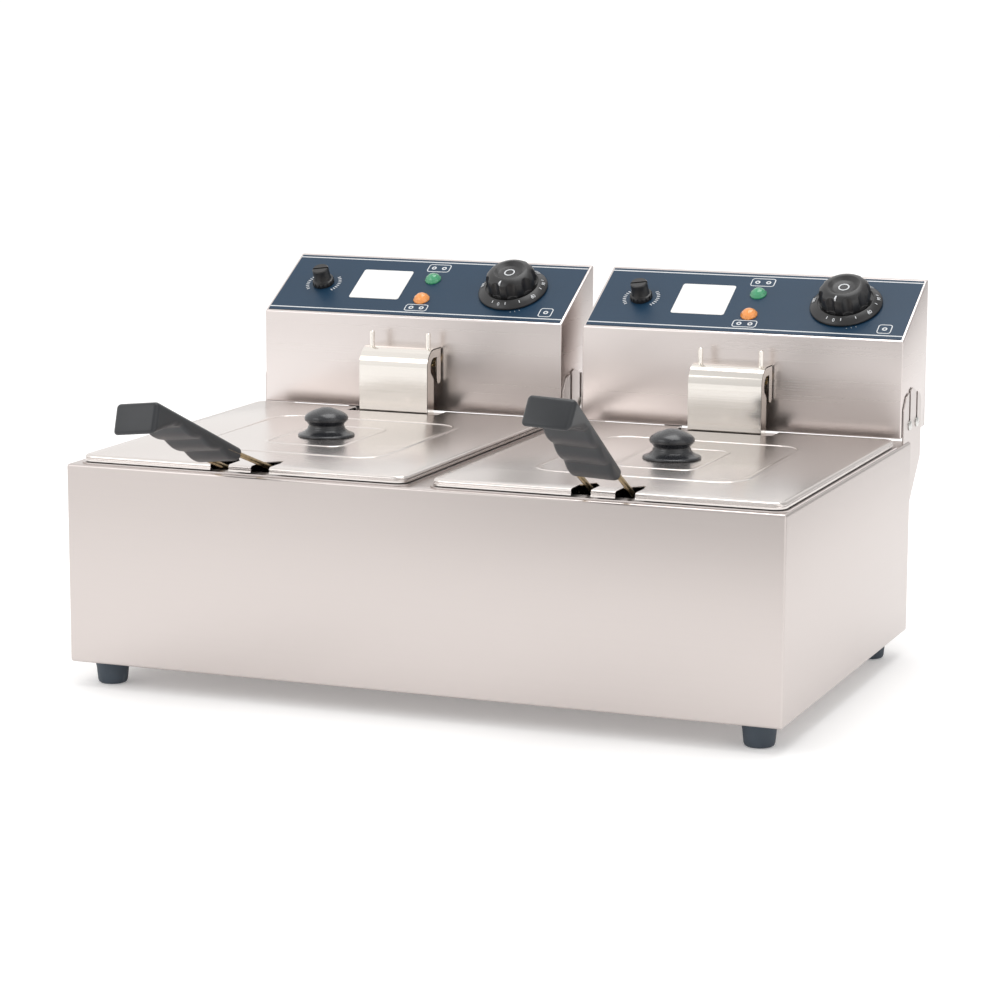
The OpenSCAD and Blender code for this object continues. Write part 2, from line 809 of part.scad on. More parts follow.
oil_tank(left_x);  // left_oil_tank
lid(left_x);  // left_lid
lid_knob(left_x);  // left_lid_knob
lid_knob_screw(left_x);  // left_lid_knob_screw
basket_frame(left_x);  // left_basket_frame
basket_mesh(left_x);  // left_basket_mesh
handle_wires(left_x, -1);  // left_handle_wires
handle_grip(left_x, -1);  // left_handle_grip
head_shell(left_x);  // left_head_shell
head_back_cover(left_x);  // left_head_back_cover
panel_overlay(left_x);  // left_panel_overlay
thermostat_knob(left_x);  // left_thermostat_knob
thermostat(left_x);  // left_thermostat
lamp(left_x, green_s, "green");  // left_green_lamp
lamp(left_x, amber_s, "orange");  // left_amber_lamp
reset_cap(left_x);  // left_reset_cap
reset_button(left_x);  // left_reset_button
limiter(left_x);  // left_limiter
heating_element(left_x);  // left_heating_element
element_nuts(left_x);  // left_element_nuts
element_shield(left_x);  // left_element_shield
hanger_studs(left_x);  // left_hanger_studs
cord_gland(left_x);  // left_cord_gland
terminal_block(left_x);  // left_terminal_block
sensor_bulbs(left_x);  // left_sensor_bulbs

oil_tank(right_x);  // right_oil_tank
lid(right_x);  // right_lid
lid_knob(right_x);  // right_lid_knob
lid_knob_screw(right_x);  // right_lid_knob_screw
basket_frame(right_x);  // right_basket_frame
basket_mesh(right_x);  // right_basket_mesh
handle_wires(right_x, 1);  // right_handle_wires
handle_grip(right_x, 1);  // right_handle_grip
head_shell(right_x);  // right_head_shell
head_back_cover(right_x);  // right_head_back_cover
panel_overlay(right_x);  // right_panel_overlay
thermostat_knob(right_x);  // right_thermostat_knob
thermostat(right_x);  // right_thermostat
lamp(right_x, green_s, "green");  // right_green_lamp
lamp(right_x, amber_s, "orange");  // right_amber_lamp
reset_cap(right_x);  // right_reset_cap
reset_button(right_x);  // right_reset_button
limiter(right_x);  // right_limiter
heating_element(right_x);  // right_heating_element
element_nuts(right_x);  // right_element_nuts
element_shield(right_x);  // right_element_shield
hanger_studs(right_x);  // right_hanger_studs
cord_gland(right_x);  // right_cord_gland
terminal_block(right_x);  // right_terminal_block
sensor_bulbs(right_x);  // right_sensor_bulbs
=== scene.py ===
import bpy
import bmesh
import json
import math
from mathutils import Matrix, Vector


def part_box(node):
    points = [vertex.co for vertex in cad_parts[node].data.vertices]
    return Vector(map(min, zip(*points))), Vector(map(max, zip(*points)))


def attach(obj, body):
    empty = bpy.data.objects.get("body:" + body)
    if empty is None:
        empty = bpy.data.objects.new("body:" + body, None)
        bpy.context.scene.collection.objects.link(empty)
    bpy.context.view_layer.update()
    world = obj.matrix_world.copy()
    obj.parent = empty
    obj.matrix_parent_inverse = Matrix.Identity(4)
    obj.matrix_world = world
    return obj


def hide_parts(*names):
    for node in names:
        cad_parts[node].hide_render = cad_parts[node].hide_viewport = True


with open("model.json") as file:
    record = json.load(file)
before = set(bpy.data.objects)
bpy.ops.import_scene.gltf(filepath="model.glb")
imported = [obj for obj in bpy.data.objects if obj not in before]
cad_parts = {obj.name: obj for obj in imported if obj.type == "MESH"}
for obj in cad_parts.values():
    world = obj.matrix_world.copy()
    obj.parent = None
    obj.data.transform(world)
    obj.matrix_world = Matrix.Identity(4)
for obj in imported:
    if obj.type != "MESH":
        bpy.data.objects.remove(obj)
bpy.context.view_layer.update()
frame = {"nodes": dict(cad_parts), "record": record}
nodes = frame["nodes"]
print("frame loaded")

# places read from the frame
caseLow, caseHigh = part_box("case_shell")
frontY = caseLow.y
deckZ = caseHigh.z
headLow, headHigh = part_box("left_head_shell")
headY = headLow.y
# each side's handle: tilt, roll and lean in degrees, and its knuckles' height over the basket
sides = {
    "left": {"turn": (8.5, -6.5, -5.4), "knuckle": 0.0045},
    "right": {"turn": (0.0, 2.5, -1.5), "knuckle": 0.0022},
}
for side, facts in sides.items():
    low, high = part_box(side + "_head_shell")
    facts["x"] = (low.x + high.x) / 2

# the sloping panel that both heads have
panel = {"slope": math.radians(29), "length": 0.083, "faceHeight": 0.075}
panel["z"] = headLow.z + panel["faceHeight"]
panel["run"] = panel["length"] * math.cos(panel["slope"])
cutPast = 0.01  # how far a cutter reaches past what it cuts


def clearSelection():
    if bpy.context.object and bpy.context.object.mode != "OBJECT":
        bpy.ops.object.mode_set(mode="OBJECT")
    bpy.ops.object.select_all(action="DESELECT")


def pickPiece(piece):
    clearSelection()
    piece.select_set(True)
    bpy.context.view_layer.objects.active = piece


def editPiece(piece):
    pickPiece(piece)
    bpy.ops.object.mode_set(mode="EDIT")


def selectFaces(piece, test):
    bpy.ops.mesh.select_mode(type="FACE")
    bpy.ops.mesh.select_all(action="DESELECT")
    shape = bmesh.from_edit_mesh(piece.data)
    shape.normal_update()
    for face in shape.faces:
        face.select_set(bool(test(face)))
    bmesh.update_edit_mesh(piece.data)


def selectEdges(piece, test):
    bpy.ops.mesh.select_mode(type="EDGE")
    bpy.ops.mesh.select_all(action="DESELECT")
    shape = bmesh.from_edit_mesh(piece.data)
    for edge in shape.edges:
        if test(edge.verts[0].co, edge.verts[1].co):
            edge.select_set(True)
    bmesh.update_edit_mesh(piece.data)


def near(a, b, gap=1e-5):
    return abs(a - b) < gap


def applyModifier(piece, kind, **values):
    pickPiece(piece)
    bpy.ops.object.modifier_add(type=kind)
    modifier = piece.modifiers[-1]
    for key, value in values.items():
        setattr(modifier, key, value)
    bpy.ops.object.modifier_apply(modifier=modifier.name)


def softenEdges(piece, width, segments=2, angle=35, clamp=True):
    applyModifier(piece, "BEVEL", width=width, segments=segments, use_clamp_overlap=clamp,
                  limit_method="ANGLE", angle_limit=math.radians(angle))


def cutAway(piece, cutter):
    applyModifier(piece, "BOOLEAN", object=cutter, operation="DIFFERENCE", solver="EXACT")
    bpy.data.objects.remove(cutter)


def joinPieces(name, pieces):
    clearSelection()
    for piece in pieces:
        piece.select_set(True)
    bpy.context.view_layer.objects.active = pieces[0]
    bpy.ops.object.join()
    pieces[0].name = name
    return pieces[0]


def copyPiece(piece, name):
    pickPiece(piece)
    bpy.ops.object.duplicate(linked=False)
    twin = bpy.context.object
    twin.name = name
    return twin


def placePiece(piece, matrix):
    piece.matrix_world = matrix @ piece.matrix_world
    pickPiece(piece)
    bpy.ops.object.transform_apply(location=True, rotation=True, scale=True)
    return piece


def tidyFaces(piece):
    editPiece(piece)
    bpy.ops.mesh.select_all(action="SELECT")
    bpy.ops.mesh.remove_doubles(threshold=1e-6)
    bpy.ops.mesh.normals_make_consistent(inside=False)
    bpy.ops.object.mode_set(mode="OBJECT")


def addBlock(name, low, high):
    clearSelection()
    low, high = Vector(low), Vector(high)
    bpy.ops.mesh.primitive_cube_add(size=1, location=(low + high) / 2)
    block = bpy.context.object
    block.name = name
    block.scale = high - low
    bpy.ops.object.transform_apply(location=True, rotation=True, scale=True)
    return block


# a block whose upright edges are round
def addRoundBlock(name, low, high, radius, segments=8):
    block = addBlock(name, low, high)
    editPiece(block)
    selectEdges(block, lambda a, b: near(a.x, b.x) and near(a.y, b.y))
    bpy.ops.mesh.bevel(offset=radius, segments=segments, affect="EDGES")
    bpy.ops.object.mode_set(mode="OBJECT")
    return block


# one point pulled along a list of places
def drawLine(name, points, closed=False):
    clearSelection()
    bpy.ops.mesh.primitive_plane_add(size=0.01)
    line = bpy.context.object
    line.name = name
    bpy.ops.object.mode_set(mode="EDIT")
    bpy.ops.mesh.select_mode(type="VERT")
    bpy.ops.mesh.merge(type="CENTER")
    points = [Vector(point) for point in points]
    bpy.ops.transform.translate(value=points[0])
    for here, there in zip(points, points[1:]):
        bpy.ops.mesh.extrude_region_move(TRANSFORM_OT_translate={"value": there - here})
    if closed:
        bpy.ops.mesh.select_all(action="SELECT")
        bpy.ops.mesh.edge_face_add()
    bpy.ops.object.mode_set(mode="OBJECT")
    return line


# (radius, height) outline spun round the z axis
def spinShape(name, outline, steps=48):
    line = drawLine(name, [(radius, 0, height) for radius, height in outline])
    editPiece(line)
    bpy.ops.mesh.select_all(action="SELECT")
    bpy.ops.mesh.spin(steps=steps, angle=math.tau, center=(0, 0, 0), axis=(0, 0, 1))
    bpy.ops.object.mode_set(mode="OBJECT")
    tidyFaces(line)
    return line


# (y, z) outline pulled to a width along x
def pullOutline(name, outline, left, right):
    shape = drawLine(name, [(left, y, z) for y, z in outline], closed=True)
    editPiece(shape)
    bpy.ops.mesh.select_all(action="SELECT")
    bpy.ops.mesh.extrude_region_move(TRANSFORM_OT_translate={"value": (right - left, 0, 0)})
    bpy.ops.object.mode_set(mode="OBJECT")
    tidyFaces(shape)
    return shape


# every bend of a line of points, but not its two ends
def roundCorners(piece, radius, segments=6):
    editPiece(piece)
    bpy.ops.mesh.select_mode(type="VERT")
    bpy.ops.mesh.select_all(action="DESELECT")
    shape = bmesh.from_edit_mesh(piece.data)
    for point in shape.verts:
        point.select_set(len(point.link_edges) == 2)
    bmesh.update_edit_mesh(piece.data)
    bpy.ops.mesh.bevel(offset=radius, segments=segments, affect="VERTICES")
    bpy.ops.object.mode_set(mode="OBJECT")


# a wire or tube along a list of places, with rounded corners
def bendTube(name, points, radius, corner=0.006, facets=3, ring=False):
    line = drawLine(name, points)
    if ring:
        editPiece(line)
        bpy.ops.mesh.select_mode(type="VERT")
        bpy.ops.mesh.select_all(action="SELECT")
        bpy.ops.mesh.remove_doubles(threshold=1e-6)
        bpy.ops.object.mode_set(mode="OBJECT")
    if len(points) > 2:
        roundCorners(line, corner)
    pickPiece(line)
    bpy.ops.object.convert(target="CURVE")
    line.data.bevel_depth = radius
    line.data.bevel_resolution = facets
    line.data.use_fill_caps = True
    bpy.ops.object.convert(target="MESH")
    tidyFaces(line)
    return line


def finishPiece(piece, body, replaced, material, smooth=35):
    pickPiece(piece)
    bpy.ops.object.transform_apply(location=True, rotation=True, scale=True)
    if smooth:
        bpy.ops.object.shade_smooth_by_angle(angle=math.radians(smooth))
    piece.data.materials.clear()
    piece.data.materials.append(material)
    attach(piece, body)
    if replaced:
        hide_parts(*replaced)
    return piece


def startFinish(name, color, metallic, roughness):
    material = bpy.data.materials.new(name)
    material.use_nodes = True
    shader = material.node_tree.nodes["Principled BSDF"]
    shader.inputs["Base Color"].default_value = (*color, 1)
    shader.inputs["Metallic"].default_value = metallic
    shader.inputs["Roughness"].default_value = roughness
    return material, shader


# noise on the piece's own coordinates, stretched by the scale
def addGrain(material, scale, detail=4.0):
    tree = material.node_tree
    place = tree.nodes.new("ShaderNodeTexCoord")
    stretch = tree.nodes.new("ShaderNodeMapping")
    stretch.inputs["Scale"].default_value = scale
    noise = tree.nodes.new("ShaderNodeTexNoise")
    noise.inputs["Scale"].default_value = 1
    noise.inputs["Detail"].default_value = detail
    tree.links.new(place.outputs["Object"], stretch.inputs["Vector"])
    tree.links.new(stretch.outputs["Vector"], noise.inputs["Vector"])
    return noise.outputs["Fac"]


# most of a noise lies between 0.3 and 0.7
def spreadValue(material, source, low, high):
    tree = material.node_tree
    spread = tree.nodes.new("ShaderNodeMapRange")
    spread.inputs["From Min"].default_value = 0.3
    spread.inputs["From Max"].default_value = 0.7
    spread.inputs["To Min"].default_value = low
    spread.inputs["To Max"].default_value = high
    tree.links.new(source, spread.inputs["Value"])
    return spread.outputs["Result"]


def mixColors(material, factor, first, second):
    tree = material.node_tree
    mix = tree.nodes.new("ShaderNodeMix")
    mix.data_type = "RGBA"
    mix.inputs["A"].default_value = (*first, 1)
    mix.inputs["B"].default_value = (*second, 1)
    tree.links.new(factor, mix.inputs["Factor"])
    return mix.outputs["Result"]


bumpDepth = 0.0002


def addBump(material, shader, height, strength):
    tree = material.node_tree
    bump = tree.nodes.new("ShaderNodeBump")
    bump.inputs["Strength"].default_value = strength
    bump.inputs["Distance"].default_value = bumpDepth
    tree.links.new(height, bump.inputs["Height"])
    tree.links.new(bump.outputs["Normal"], shader.inputs["Normal"])


# brushed sheet: long fine streaks along x on most faces, along y on faces turned to the side
def brushedSteel(name, look):
    material, shader = startFinish(name, look["color"], 1.0, look["roughness"])
    tree = material.node_tree
    alongX = addGrain(material, (look["long"], look["fine"], look["fine"]))
    alongY = addGrain(material, (look["fine"], look["long"], look["fine"]))
    place = tree.nodes.new("ShaderNodeTexCoord")
    parts = tree.nodes.new("ShaderNodeSeparateXYZ")
    sideways = tree.nodes.new("ShaderNodeMath")
    sideways.operation = "ABSOLUTE"
    tree.links.new(place.outputs["Normal"], parts.inputs["Vector"])
    tree.links.new(parts.outputs["X"], sideways.inputs[0])
    grain = tree.nodes.new("ShaderNodeMix")
    tree.links.new(sideways.outputs["Value"], grain.inputs["Factor"])
    tree.links.new(alongX, grain.inputs["A"])
    tree.links.new(alongY, grain.inputs["B"])
    streaks = grain.outputs["Result"]
    rough = look["roughness"]
    tree.links.new(spreadValue(material, streaks, rough - look["vary"], rough + look["vary"]),
                   shader.inputs["Roughness"])
    dark = [value * look["shade"] for value in look["color"]]
    tint = mixColors(material, spreadValue(material, streaks, 0, 1), dark, look["color"])
    tree.links.new(tint, shader.inputs["Base Color"])
    addBump(material, shader, streaks, look["bump"])
    return material


plasticParts = {"coatRoughness": 0.2, "cloudScale": 40, "smoother": 0.05, "rougher": 0.07}


def mouldedPlastic(name, look):
    material, shader = startFinish(name, look["color"], 0.0, look["roughness"])
    tree = material.node_tree
    shader.inputs["Coat Weight"].default_value = look.get("coat", 0.0)
    shader.inputs["Coat Roughness"].default_value = plasticParts["coatRoughness"]
    shader.inputs["Specular IOR Level"].default_value = look.get("shine", 0.5)
    speckle = addGrain(material, (look["grain"],) * 3, 3.0)
    cloudy = addGrain(material, (plasticParts["cloudScale"],) * 3, 2.0)
    pale = [value * look.get("cloud", 1.25) for value in look["color"]]
    tint = mixColors(material, spreadValue(material, cloudy, 0, 1), look["color"], pale)
    tree.links.new(tint, shader.inputs["Base Color"])
    rough = spreadValue(material, speckle, look["roughness"] - plasticParts["smoother"],
                        look["roughness"] + plasticParts["rougher"])
    tree.links.new(rough, shader.inputs["Roughness"])
    addBump(material, shader, speckle, look["bump"])
    return material


metalParts = {"smoother": 0.06, "rougher": 0.08}


def plainMetal(name, look):
    material, shader = startFinish(name, look["color"], 1.0, look["roughness"])
    tree = material.node_tree
    cloudy = addGrain(material, (look["grain"],) * 3, 4.0)
    dark = [value * look["shade"] for value in look["color"]]
    tint = mixColors(material, spreadValue(material, cloudy, 0, 1), dark, look["color"])
    tree.links.new(tint, shader.inputs["Base Color"])
    rough = spreadValue(material, cloudy, look["roughness"] - metalParts["smoother"],
                        look["roughness"] + metalParts["rougher"])
    tree.links.new(rough, shader.inputs["Roughness"])
    return material


# lamp domes: the colour is painted paler and whiter where a dome faces the camera, a painted
# glow of light through its middle, and stays deep towards the edges
lampLook = {"roughness": 0.08, "coat": 0.6, "glow": 0.12, "paintedGlowFalloff": 0.35, "paintedGlowGain": 1.9,
            "paintedGlowWhite": 0.05}


def lampPlastic(name, color):
    material, shader = startFinish(name, color, 0.0, lampLook["roughness"])
    tree = material.node_tree
    shader.inputs["Coat Weight"].default_value = lampLook["coat"]
    shader.inputs["Emission Strength"].default_value = lampLook["glow"]
    # painted light: a facing mask makes the middle of the dome paler and whiter and leaves its
    # edges the deep lamp colour
    paintedGlowFalloff = tree.nodes.new("ShaderNodeLayerWeight")
    paintedGlowFalloff.inputs["Blend"].default_value = lampLook["paintedGlowFalloff"]
    pale = [min(1.0, value * lampLook["paintedGlowGain"] + lampLook["paintedGlowWhite"]) for value in color]
    tint = mixColors(material, paintedGlowFalloff.outputs["Facing"], pale, color)
    tree.links.new(tint, shader.inputs["Base Color"])
    shader.inputs["Emission Color"].default_value = (*color, 1)
    return material


steelLook = {"color": (0.590, 0.540, 0.520), "roughness": 0.30, "vary": 0.02, "shade": 0.985,
             "long": 3, "fine": 1500, "bump": 0.02}
brightLook = {"color": (0.86, 0.82, 0.77), "roughness": 0.12, "vary": 0.02, "shade": 0.98,
              "long": 5, "fine": 700, "bump": 0.03}
headLook = dict(steelLook, color=(0.70, 0.645, 0.625), roughness=0.29, bump=0.008)
lidLook = {"color": (0.74, 0.695, 0.67), "roughness": 0.24, "vary": 0.02, "shade": 0.98,
           "long": 3, "fine": 1200, "bump": 0.012}
gripLook = {"color": (0.018, 0.020, 0.023), "roughness": 0.40, "grain": 2500, "bump": 0.10,
            "coat": 0.15, "shine": 0.4}
knobLook = {"color": (0.010, 0.011, 0.014), "roughness": 0.26, "grain": 1500, "bump": 0.03,
            "coat": 0.35}
dialLook = {"color": (0.008, 0.008, 0.009), "roughness": 0.36, "grain": 2200, "bump": 0.08,
            "coat": 0.15}
filmLook = {"color": (0.008, 0.033, 0.068), "roughness": 0.36, "grain": 1800, "bump": 0.03,
            "coat": 0.0, "cloud": 1.06, "shine": 0.3}
inkLook = dict(filmLook, color=(0.66, 0.68, 0.70), bump=0.02, cloud=1.02)
rubberLook = {"color": (0.035, 0.048, 0.064), "roughness": 0.62, "grain": 1600, "bump": 0.15}

finishes = {
    "steel": brushedSteel("brushedSteel", steelLook),
    "lid_steel": brushedSteel("lidSteel", lidLook),
    "head_steel": brushedSteel("headSteel", headLook),
    "bright_steel": brushedSteel("brightSteel", brightLook),
    "zinc": plainMetal("zincPlate", {"color": (0.70, 0.70, 0.68), "roughness": 0.28,
                                     "grain": 400, "shade": 0.85}),
    "brass": plainMetal("brass", {"color": (0.78, 0.62, 0.36), "roughness": 0.25,
                                  "grain": 300, "shade": 0.8}),
    "handle_wire": plainMetal("brassyWire", {"color": (0.60, 0.47, 0.28), "roughness": 0.3,
                                             "grain": 500, "shade": 0.7}),
    "basket_wire": plainMetal("nickelWire", {"color": (0.72, 0.70, 0.66), "roughness": 0.22,
                                             "grain": 300, "shade": 0.85}),
    "basket_mesh": plainMetal("nickelMesh", {"color": (0.70, 0.68, 0.64), "roughness": 0.26,
                                             "grain": 500, "shade": 0.85}),
    "copper": plainMetal("copper", {"color": (0.72, 0.42, 0.27), "roughness": 0.3,
                                    "grain": 200, "shade": 0.75}),
    "element": plainMetal("elementTube", {"color": (0.24, 0.22, 0.20), "roughness": 0.45,
                                          "grain": 120, "shade": 0.55}),
    "grip": mouldedPlastic("gripPlastic", gripLook),
    "knob_black": mouldedPlastic("lidKnobBakelite", knobLook),
    "dial_black": mouldedPlastic("dialPlastic", dialLook),
    "overlay": mouldedPlastic("panelFilm", filmLook),
    "rubber": mouldedPlastic("footRubber", rubberLook),
    "gland": mouldedPlastic("glandNylon", dict(dialLook, roughness=0.5)),
    "bakelite": mouldedPlastic("brownPhenolic", dict(dialLook, color=(0.16, 0.07, 0.03))),
    "ceramic": mouldedPlastic("ivoryCeramic", dict(dialLook, color=(0.76, 0.72, 0.62))),
    "button_red": mouldedPlastic("redButton", dict(dialLook, color=(0.45, 0.03, 0.02))),
    "ink": mouldedPlastic("whiteInk", inkLook),
    "plate": mouldedPlastic("plainPlate", dict(inkLook, color=(0.80, 0.80, 0.79))),
    "lamp_green": lampPlastic("greenLamp", (0.006, 0.15, 0.06)),
    "lamp_amber": lampPlastic("amberLamp", (0.44, 0.15, 0.02)),
}
print("finishes made")

# CAD nodes that stay take the finish of their slot
for entry in frame["record"]["subparts"]:
    node = nodes[entry["node"]]
    node.data.materials.clear()
    node.data.materials.append(finishes[entry["material_slot"]])


studio = {
    "lens": 112.95,
    "sensor": 36,
    "place": (0.8550, -2.0022 + frontY, 0.5472),
    "turn": (79.88, 0.17, 21.46),
    "floor": (0.93, 0.93, 0.93),
    "floorSize": 14,
    "floorGlow": 0.18,
}
# how bright the room is along x and y: places first, then strengths
backdropParts = {
    "tone": (1.0, 0.99, 0.98, 1),
    "frontLeft": ((-0.50, -0.26), (1.18, 0.74)),
    "frontRight": ((0.45, 0.65), (0, 0.55)),
    "behind": ((0.10, 0.25), (1.05, 0.62)),
    "frontToBack": ((-0.05, 0.05), (0, 1)),
}
softboxes = {
    "keySoftbox": {"place": (-1.6, -1.9, 1.9), "aim": (0, 0, 0.15), "size": (1.6, 1.2),
                   "power": 8},
    "topSoftbox": {"place": (0.2, 0.2, 2.4), "aim": (0, 0, 0.2), "size": (1.8, 1.4),
                   "power": 22},
}


def setCamera():
    bpy.ops.object.camera_add(location=studio["place"])
    camera = bpy.context.object
    camera.data.lens = studio["lens"]
    camera.data.sensor_width = studio["sensor"]
    camera.data.clip_end = 50
    tilt, roll, yaw = (math.radians(value) for value in studio["turn"])
    turned = Matrix.Rotation(yaw, 4, "Z") @ Matrix.Rotation(tilt, 4, "X")
    camera.matrix_world = (Matrix.Translation(studio["place"]) @ turned
                           @ Matrix.Rotation(roll, 4, "Z"))
    bpy.context.scene.camera = camera


def setFloor():
    clearSelection()
    bpy.ops.mesh.primitive_plane_add(size=studio["floorSize"], location=(0, 0, -0.0005))
    floor = bpy.context.object
    floor.name = "floor"
    material, shader = startFinish("floorPaper", studio["floor"], 0.0, 0.8)
    shader.inputs["Emission Color"].default_value = (1, 1, 1, 1)
    shader.inputs["Emission Strength"].default_value = studio["floorGlow"]
    floor.data.materials.append(material)


def rampBetween(tree, source, name):
    ramp = tree.nodes.new("ShaderNodeMapRange")
    before, after = backdropParts[name]
    ramp.inputs["From Min"].default_value, ramp.inputs["From Max"].default_value = before
    ramp.inputs["To Min"].default_value, ramp.inputs["To Max"].default_value = after
    tree.links.new(source, ramp.inputs["Value"])
    return ramp.outputs["Result"]


# bright on the left and dimmer to the right, with the far right in front bright again
def setBackdrop():
    world = bpy.data.worlds.new("studioWorld")
    bpy.context.scene.world = world
    world.use_nodes = True
    tree = world.node_tree
    backdrop = tree.nodes["Background"]
    place = tree.nodes.new("ShaderNodeTexCoord")
    parts = tree.nodes.new("ShaderNodeSeparateXYZ")
    tree.links.new(place.outputs["Generated"], parts.inputs["Vector"])
    inFront = tree.nodes.new("ShaderNodeMath")
    tree.links.new(rampBetween(tree, parts.outputs["X"], "frontLeft"), inFront.inputs[0])
    tree.links.new(rampBetween(tree, parts.outputs["X"], "frontRight"), inFront.inputs[1])
    blend = tree.nodes.new("ShaderNodeMix")
    tree.links.new(rampBetween(tree, parts.outputs["Y"], "frontToBack"),
                   blend.inputs["Factor"])
    tree.links.new(inFront.outputs["Value"], blend.inputs["A"])
    tree.links.new(rampBetween(tree, parts.outputs["X"], "behind"), blend.inputs["B"])
    tree.links.new(blend.outputs["Result"], backdrop.inputs["Strength"])
    backdrop.inputs["Color"].default_value = backdropParts["tone"]


def addSoftbox(name, facts):
    bpy.ops.object.light_add(type="AREA", location=facts["place"])
    lamp = bpy.context.object
    lamp.name = name
    lamp.data.shape = "RECTANGLE"
    lamp.data.size, lamp.data.size_y = facts["size"]
    lamp.data.energy = facts["power"]
    way = Vector(facts["aim"]) - Vector(facts["place"])
    lamp.rotation_euler = way.to_track_quat("-Z", "Y").to_euler()


setCamera()
setFloor()
setBackdrop()
for name, facts in softboxes.items():
    addSoftbox(name, facts)
bpy.context.scene.view_settings.view_transform = "Standard"
print("camera and studio set")


caseParts = {"sheet": 0.001, "fold": 0.0020, "lip": 0.014, "lipHigh": 0.0105, "brim": 0.009,
             "rearBrim": 0.003, "mouthCorner": 0.012}


def makeCase():
    sheet = caseParts["sheet"]
    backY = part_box("rear_panel")[1].y
    case = addBlock("caseBody", caseLow, (caseHigh.x, backY - sheet, caseHigh.z))
    editPiece(case)
    selectEdges(case, lambda a, b: not (near(a.y, backY - sheet) and near(b.y, backY - sheet)))
    bpy.ops.mesh.bevel(offset=caseParts["fold"], segments=3, affect="EDGES")
    bpy.ops.object.mode_set(mode="OBJECT")
    inside = addBlock("caseInside", caseLow + Vector((sheet, sheet, sheet)),
                      (caseHigh.x - sheet, backY + cutPast, caseHigh.z - sheet))
    cutAway(case, inside)
    lip = caseParts["lip"]
    under = addBlock("caseUnder", (caseLow.x + lip, frontY + lip, caseLow.z - cutPast),
                     (caseHigh.x - lip, backY + cutPast, caseLow.z + caseParts["lipHigh"]))
    cutAway(case, under)
    for side in sides:
        low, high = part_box(side + "_oil_tank")
        brim = caseParts["brim"]
        mouth = addRoundBlock("tankMouth", (low.x + brim, low.y + brim, deckZ - cutPast),
                              (high.x - brim, high.y - caseParts["rearBrim"],
                               deckZ + cutPast), caseParts["mouthCorner"])
        cutAway(case, mouth)
    finishPiece(case, "base", ["case_shell", "top_deck"], finishes["steel"])


footParts = {"height": 0.018, "top": 0.013, "base": 0.0105, "hole": 0.0055}


def makeFeet():
    low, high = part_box("rubber_feet")
    top, base, height = footParts["top"], footParts["base"], footParts["height"]
    outline = [(footParts["hole"], height), (top - 0.0006, height), (top, height - 0.0006),
               (top - 0.0002, height - 0.0030), (top - 0.0010, height - 0.0070),
               (base + 0.0009, 0.0050), (base + 0.0006, 0.0022), (base, 0.0006),
               (base - 0.0008, 0), (footParts["hole"] + 0.001, 0), (footParts["hole"], 0.001)]
    outline.append(outline[0])
    first = spinShape("rubberFeet", outline, 40)
    feet = [first]
    for x in (low.x + top, high.x - top):
        for y in (low.y + top, high.y - top):
            foot = copyPiece(first, "foot")
            placePiece(foot, Matrix.Translation((x, y, 0)))
            feet.append(foot)
    bpy.data.objects.remove(feet.pop(0))
    finishPiece(joinPieces("rubberFeet", feet), "base", ["rubber_feet"],
                finishes["rubber"])


makeCase()
makeFeet()
print("case and feet done")


# rings and beads: size along x and y with the corner, half width with the rise
lidParts = {"sheet": 0.0008, "gap": 0.0006, "corner": 0.009, "fold": 0.0027,
            "notchWide": 0.0146, "notchAt": 0.0162, "notchDeep": 0.019, "notchTip": 0.030,
            "groove": 0.0009, "grooveHigh": 0.0026, "grooveOut": 1.0018,
            "shieldWide": 0.080, "shieldCorner": 0.004,
            "outerRing": (0.156, 0.172, 0.020), "outerBead": (0.0026, 0.0006),
            "innerRing": (0.062, 0.094, 0.010), "innerBead": (0.0022, 0.0005)}


# corners of a level rectangle, its first corner again at the end
def loopPoints(x0, y0, x1, y1, z=0):
    return [(x0, y0, z), (x1, y0, z), (x1, y1, z), (x0, y1, z), (x0, y0, z)]


# a pressed bead: a round wire sunk into the sheet so that a low swell shows
def pressBead(name, centre, size, z, swell):
    x, y = centre
    halfX, halfY, corner = size[0] / 2, size[1] / 2, size[2]
    wide, proud = swell
    bead = bendTube(name, loopPoints(x - halfX, y - halfY, x + halfX, y + halfY), wide, corner,
                    4, ring=True)
    squashed = Matrix.Translation((0, 0, z)) @ Matrix.Diagonal((1, 1, proud / wide, 1))
    return placePiece(bead, squashed)


# a block with round corners and a folded upper edge, for the lid and for its inside
def lidTray(name, low, high, corner, fold, segments):
    tray = addRoundBlock(name, low, high, corner)
    editPiece(tray)
    selectEdges(tray, lambda a, b: near(a.z, high[2]) and near(b.z, high[2]))
    bpy.ops.mesh.bevel(offset=fold, segments=segments, affect="EDGES")
    bpy.ops.object.mode_set(mode="OBJECT")
    return tray


def cutSkirtGroove(lid, low, high):
    ring = bendTube("skirtGroove", loopPoints(low.x, low.y, high.x, high.y),
                    lidParts["groove"], lidParts["corner"], 3, ring=True)
    out = lidParts["grooveOut"]
    cutAway(lid, placePiece(ring, Matrix.Translation((0, 0, low.z + lidParts["grooveHigh"]))
                            @ Matrix.Diagonal((out, out, 1, 1))))


# a notch for each handle wire, with a point at its inner end
def cutWireNotches(lid, x, frontEdge, top):
    half = lidParts["notchWide"] / 2
    deep, tip = frontEdge + lidParts["notchDeep"], frontEdge + lidParts["notchTip"]
    for way in (-1, 1):
        middle = x + way * lidParts["notchAt"]
        outline = [(middle - half, frontEdge - cutPast), (middle + half, frontEdge - cutPast),
                   (middle + half, deep), (middle + half * 0.4 + way * 0.002, tip),
                   (middle - half, deep)]
        notch = drawLine("notch", [(px, py, top - 0.02) for px, py in outline], closed=True)
        editPiece(notch)
        bpy.ops.mesh.select_all(action="SELECT")
        bpy.ops.mesh.extrude_region_move(TRANSFORM_OT_translate={"value": (0, 0, 0.04)})
        bpy.ops.object.mode_set(mode="OBJECT")
        tidyFaces(notch)
        cutAway(lid, notch)


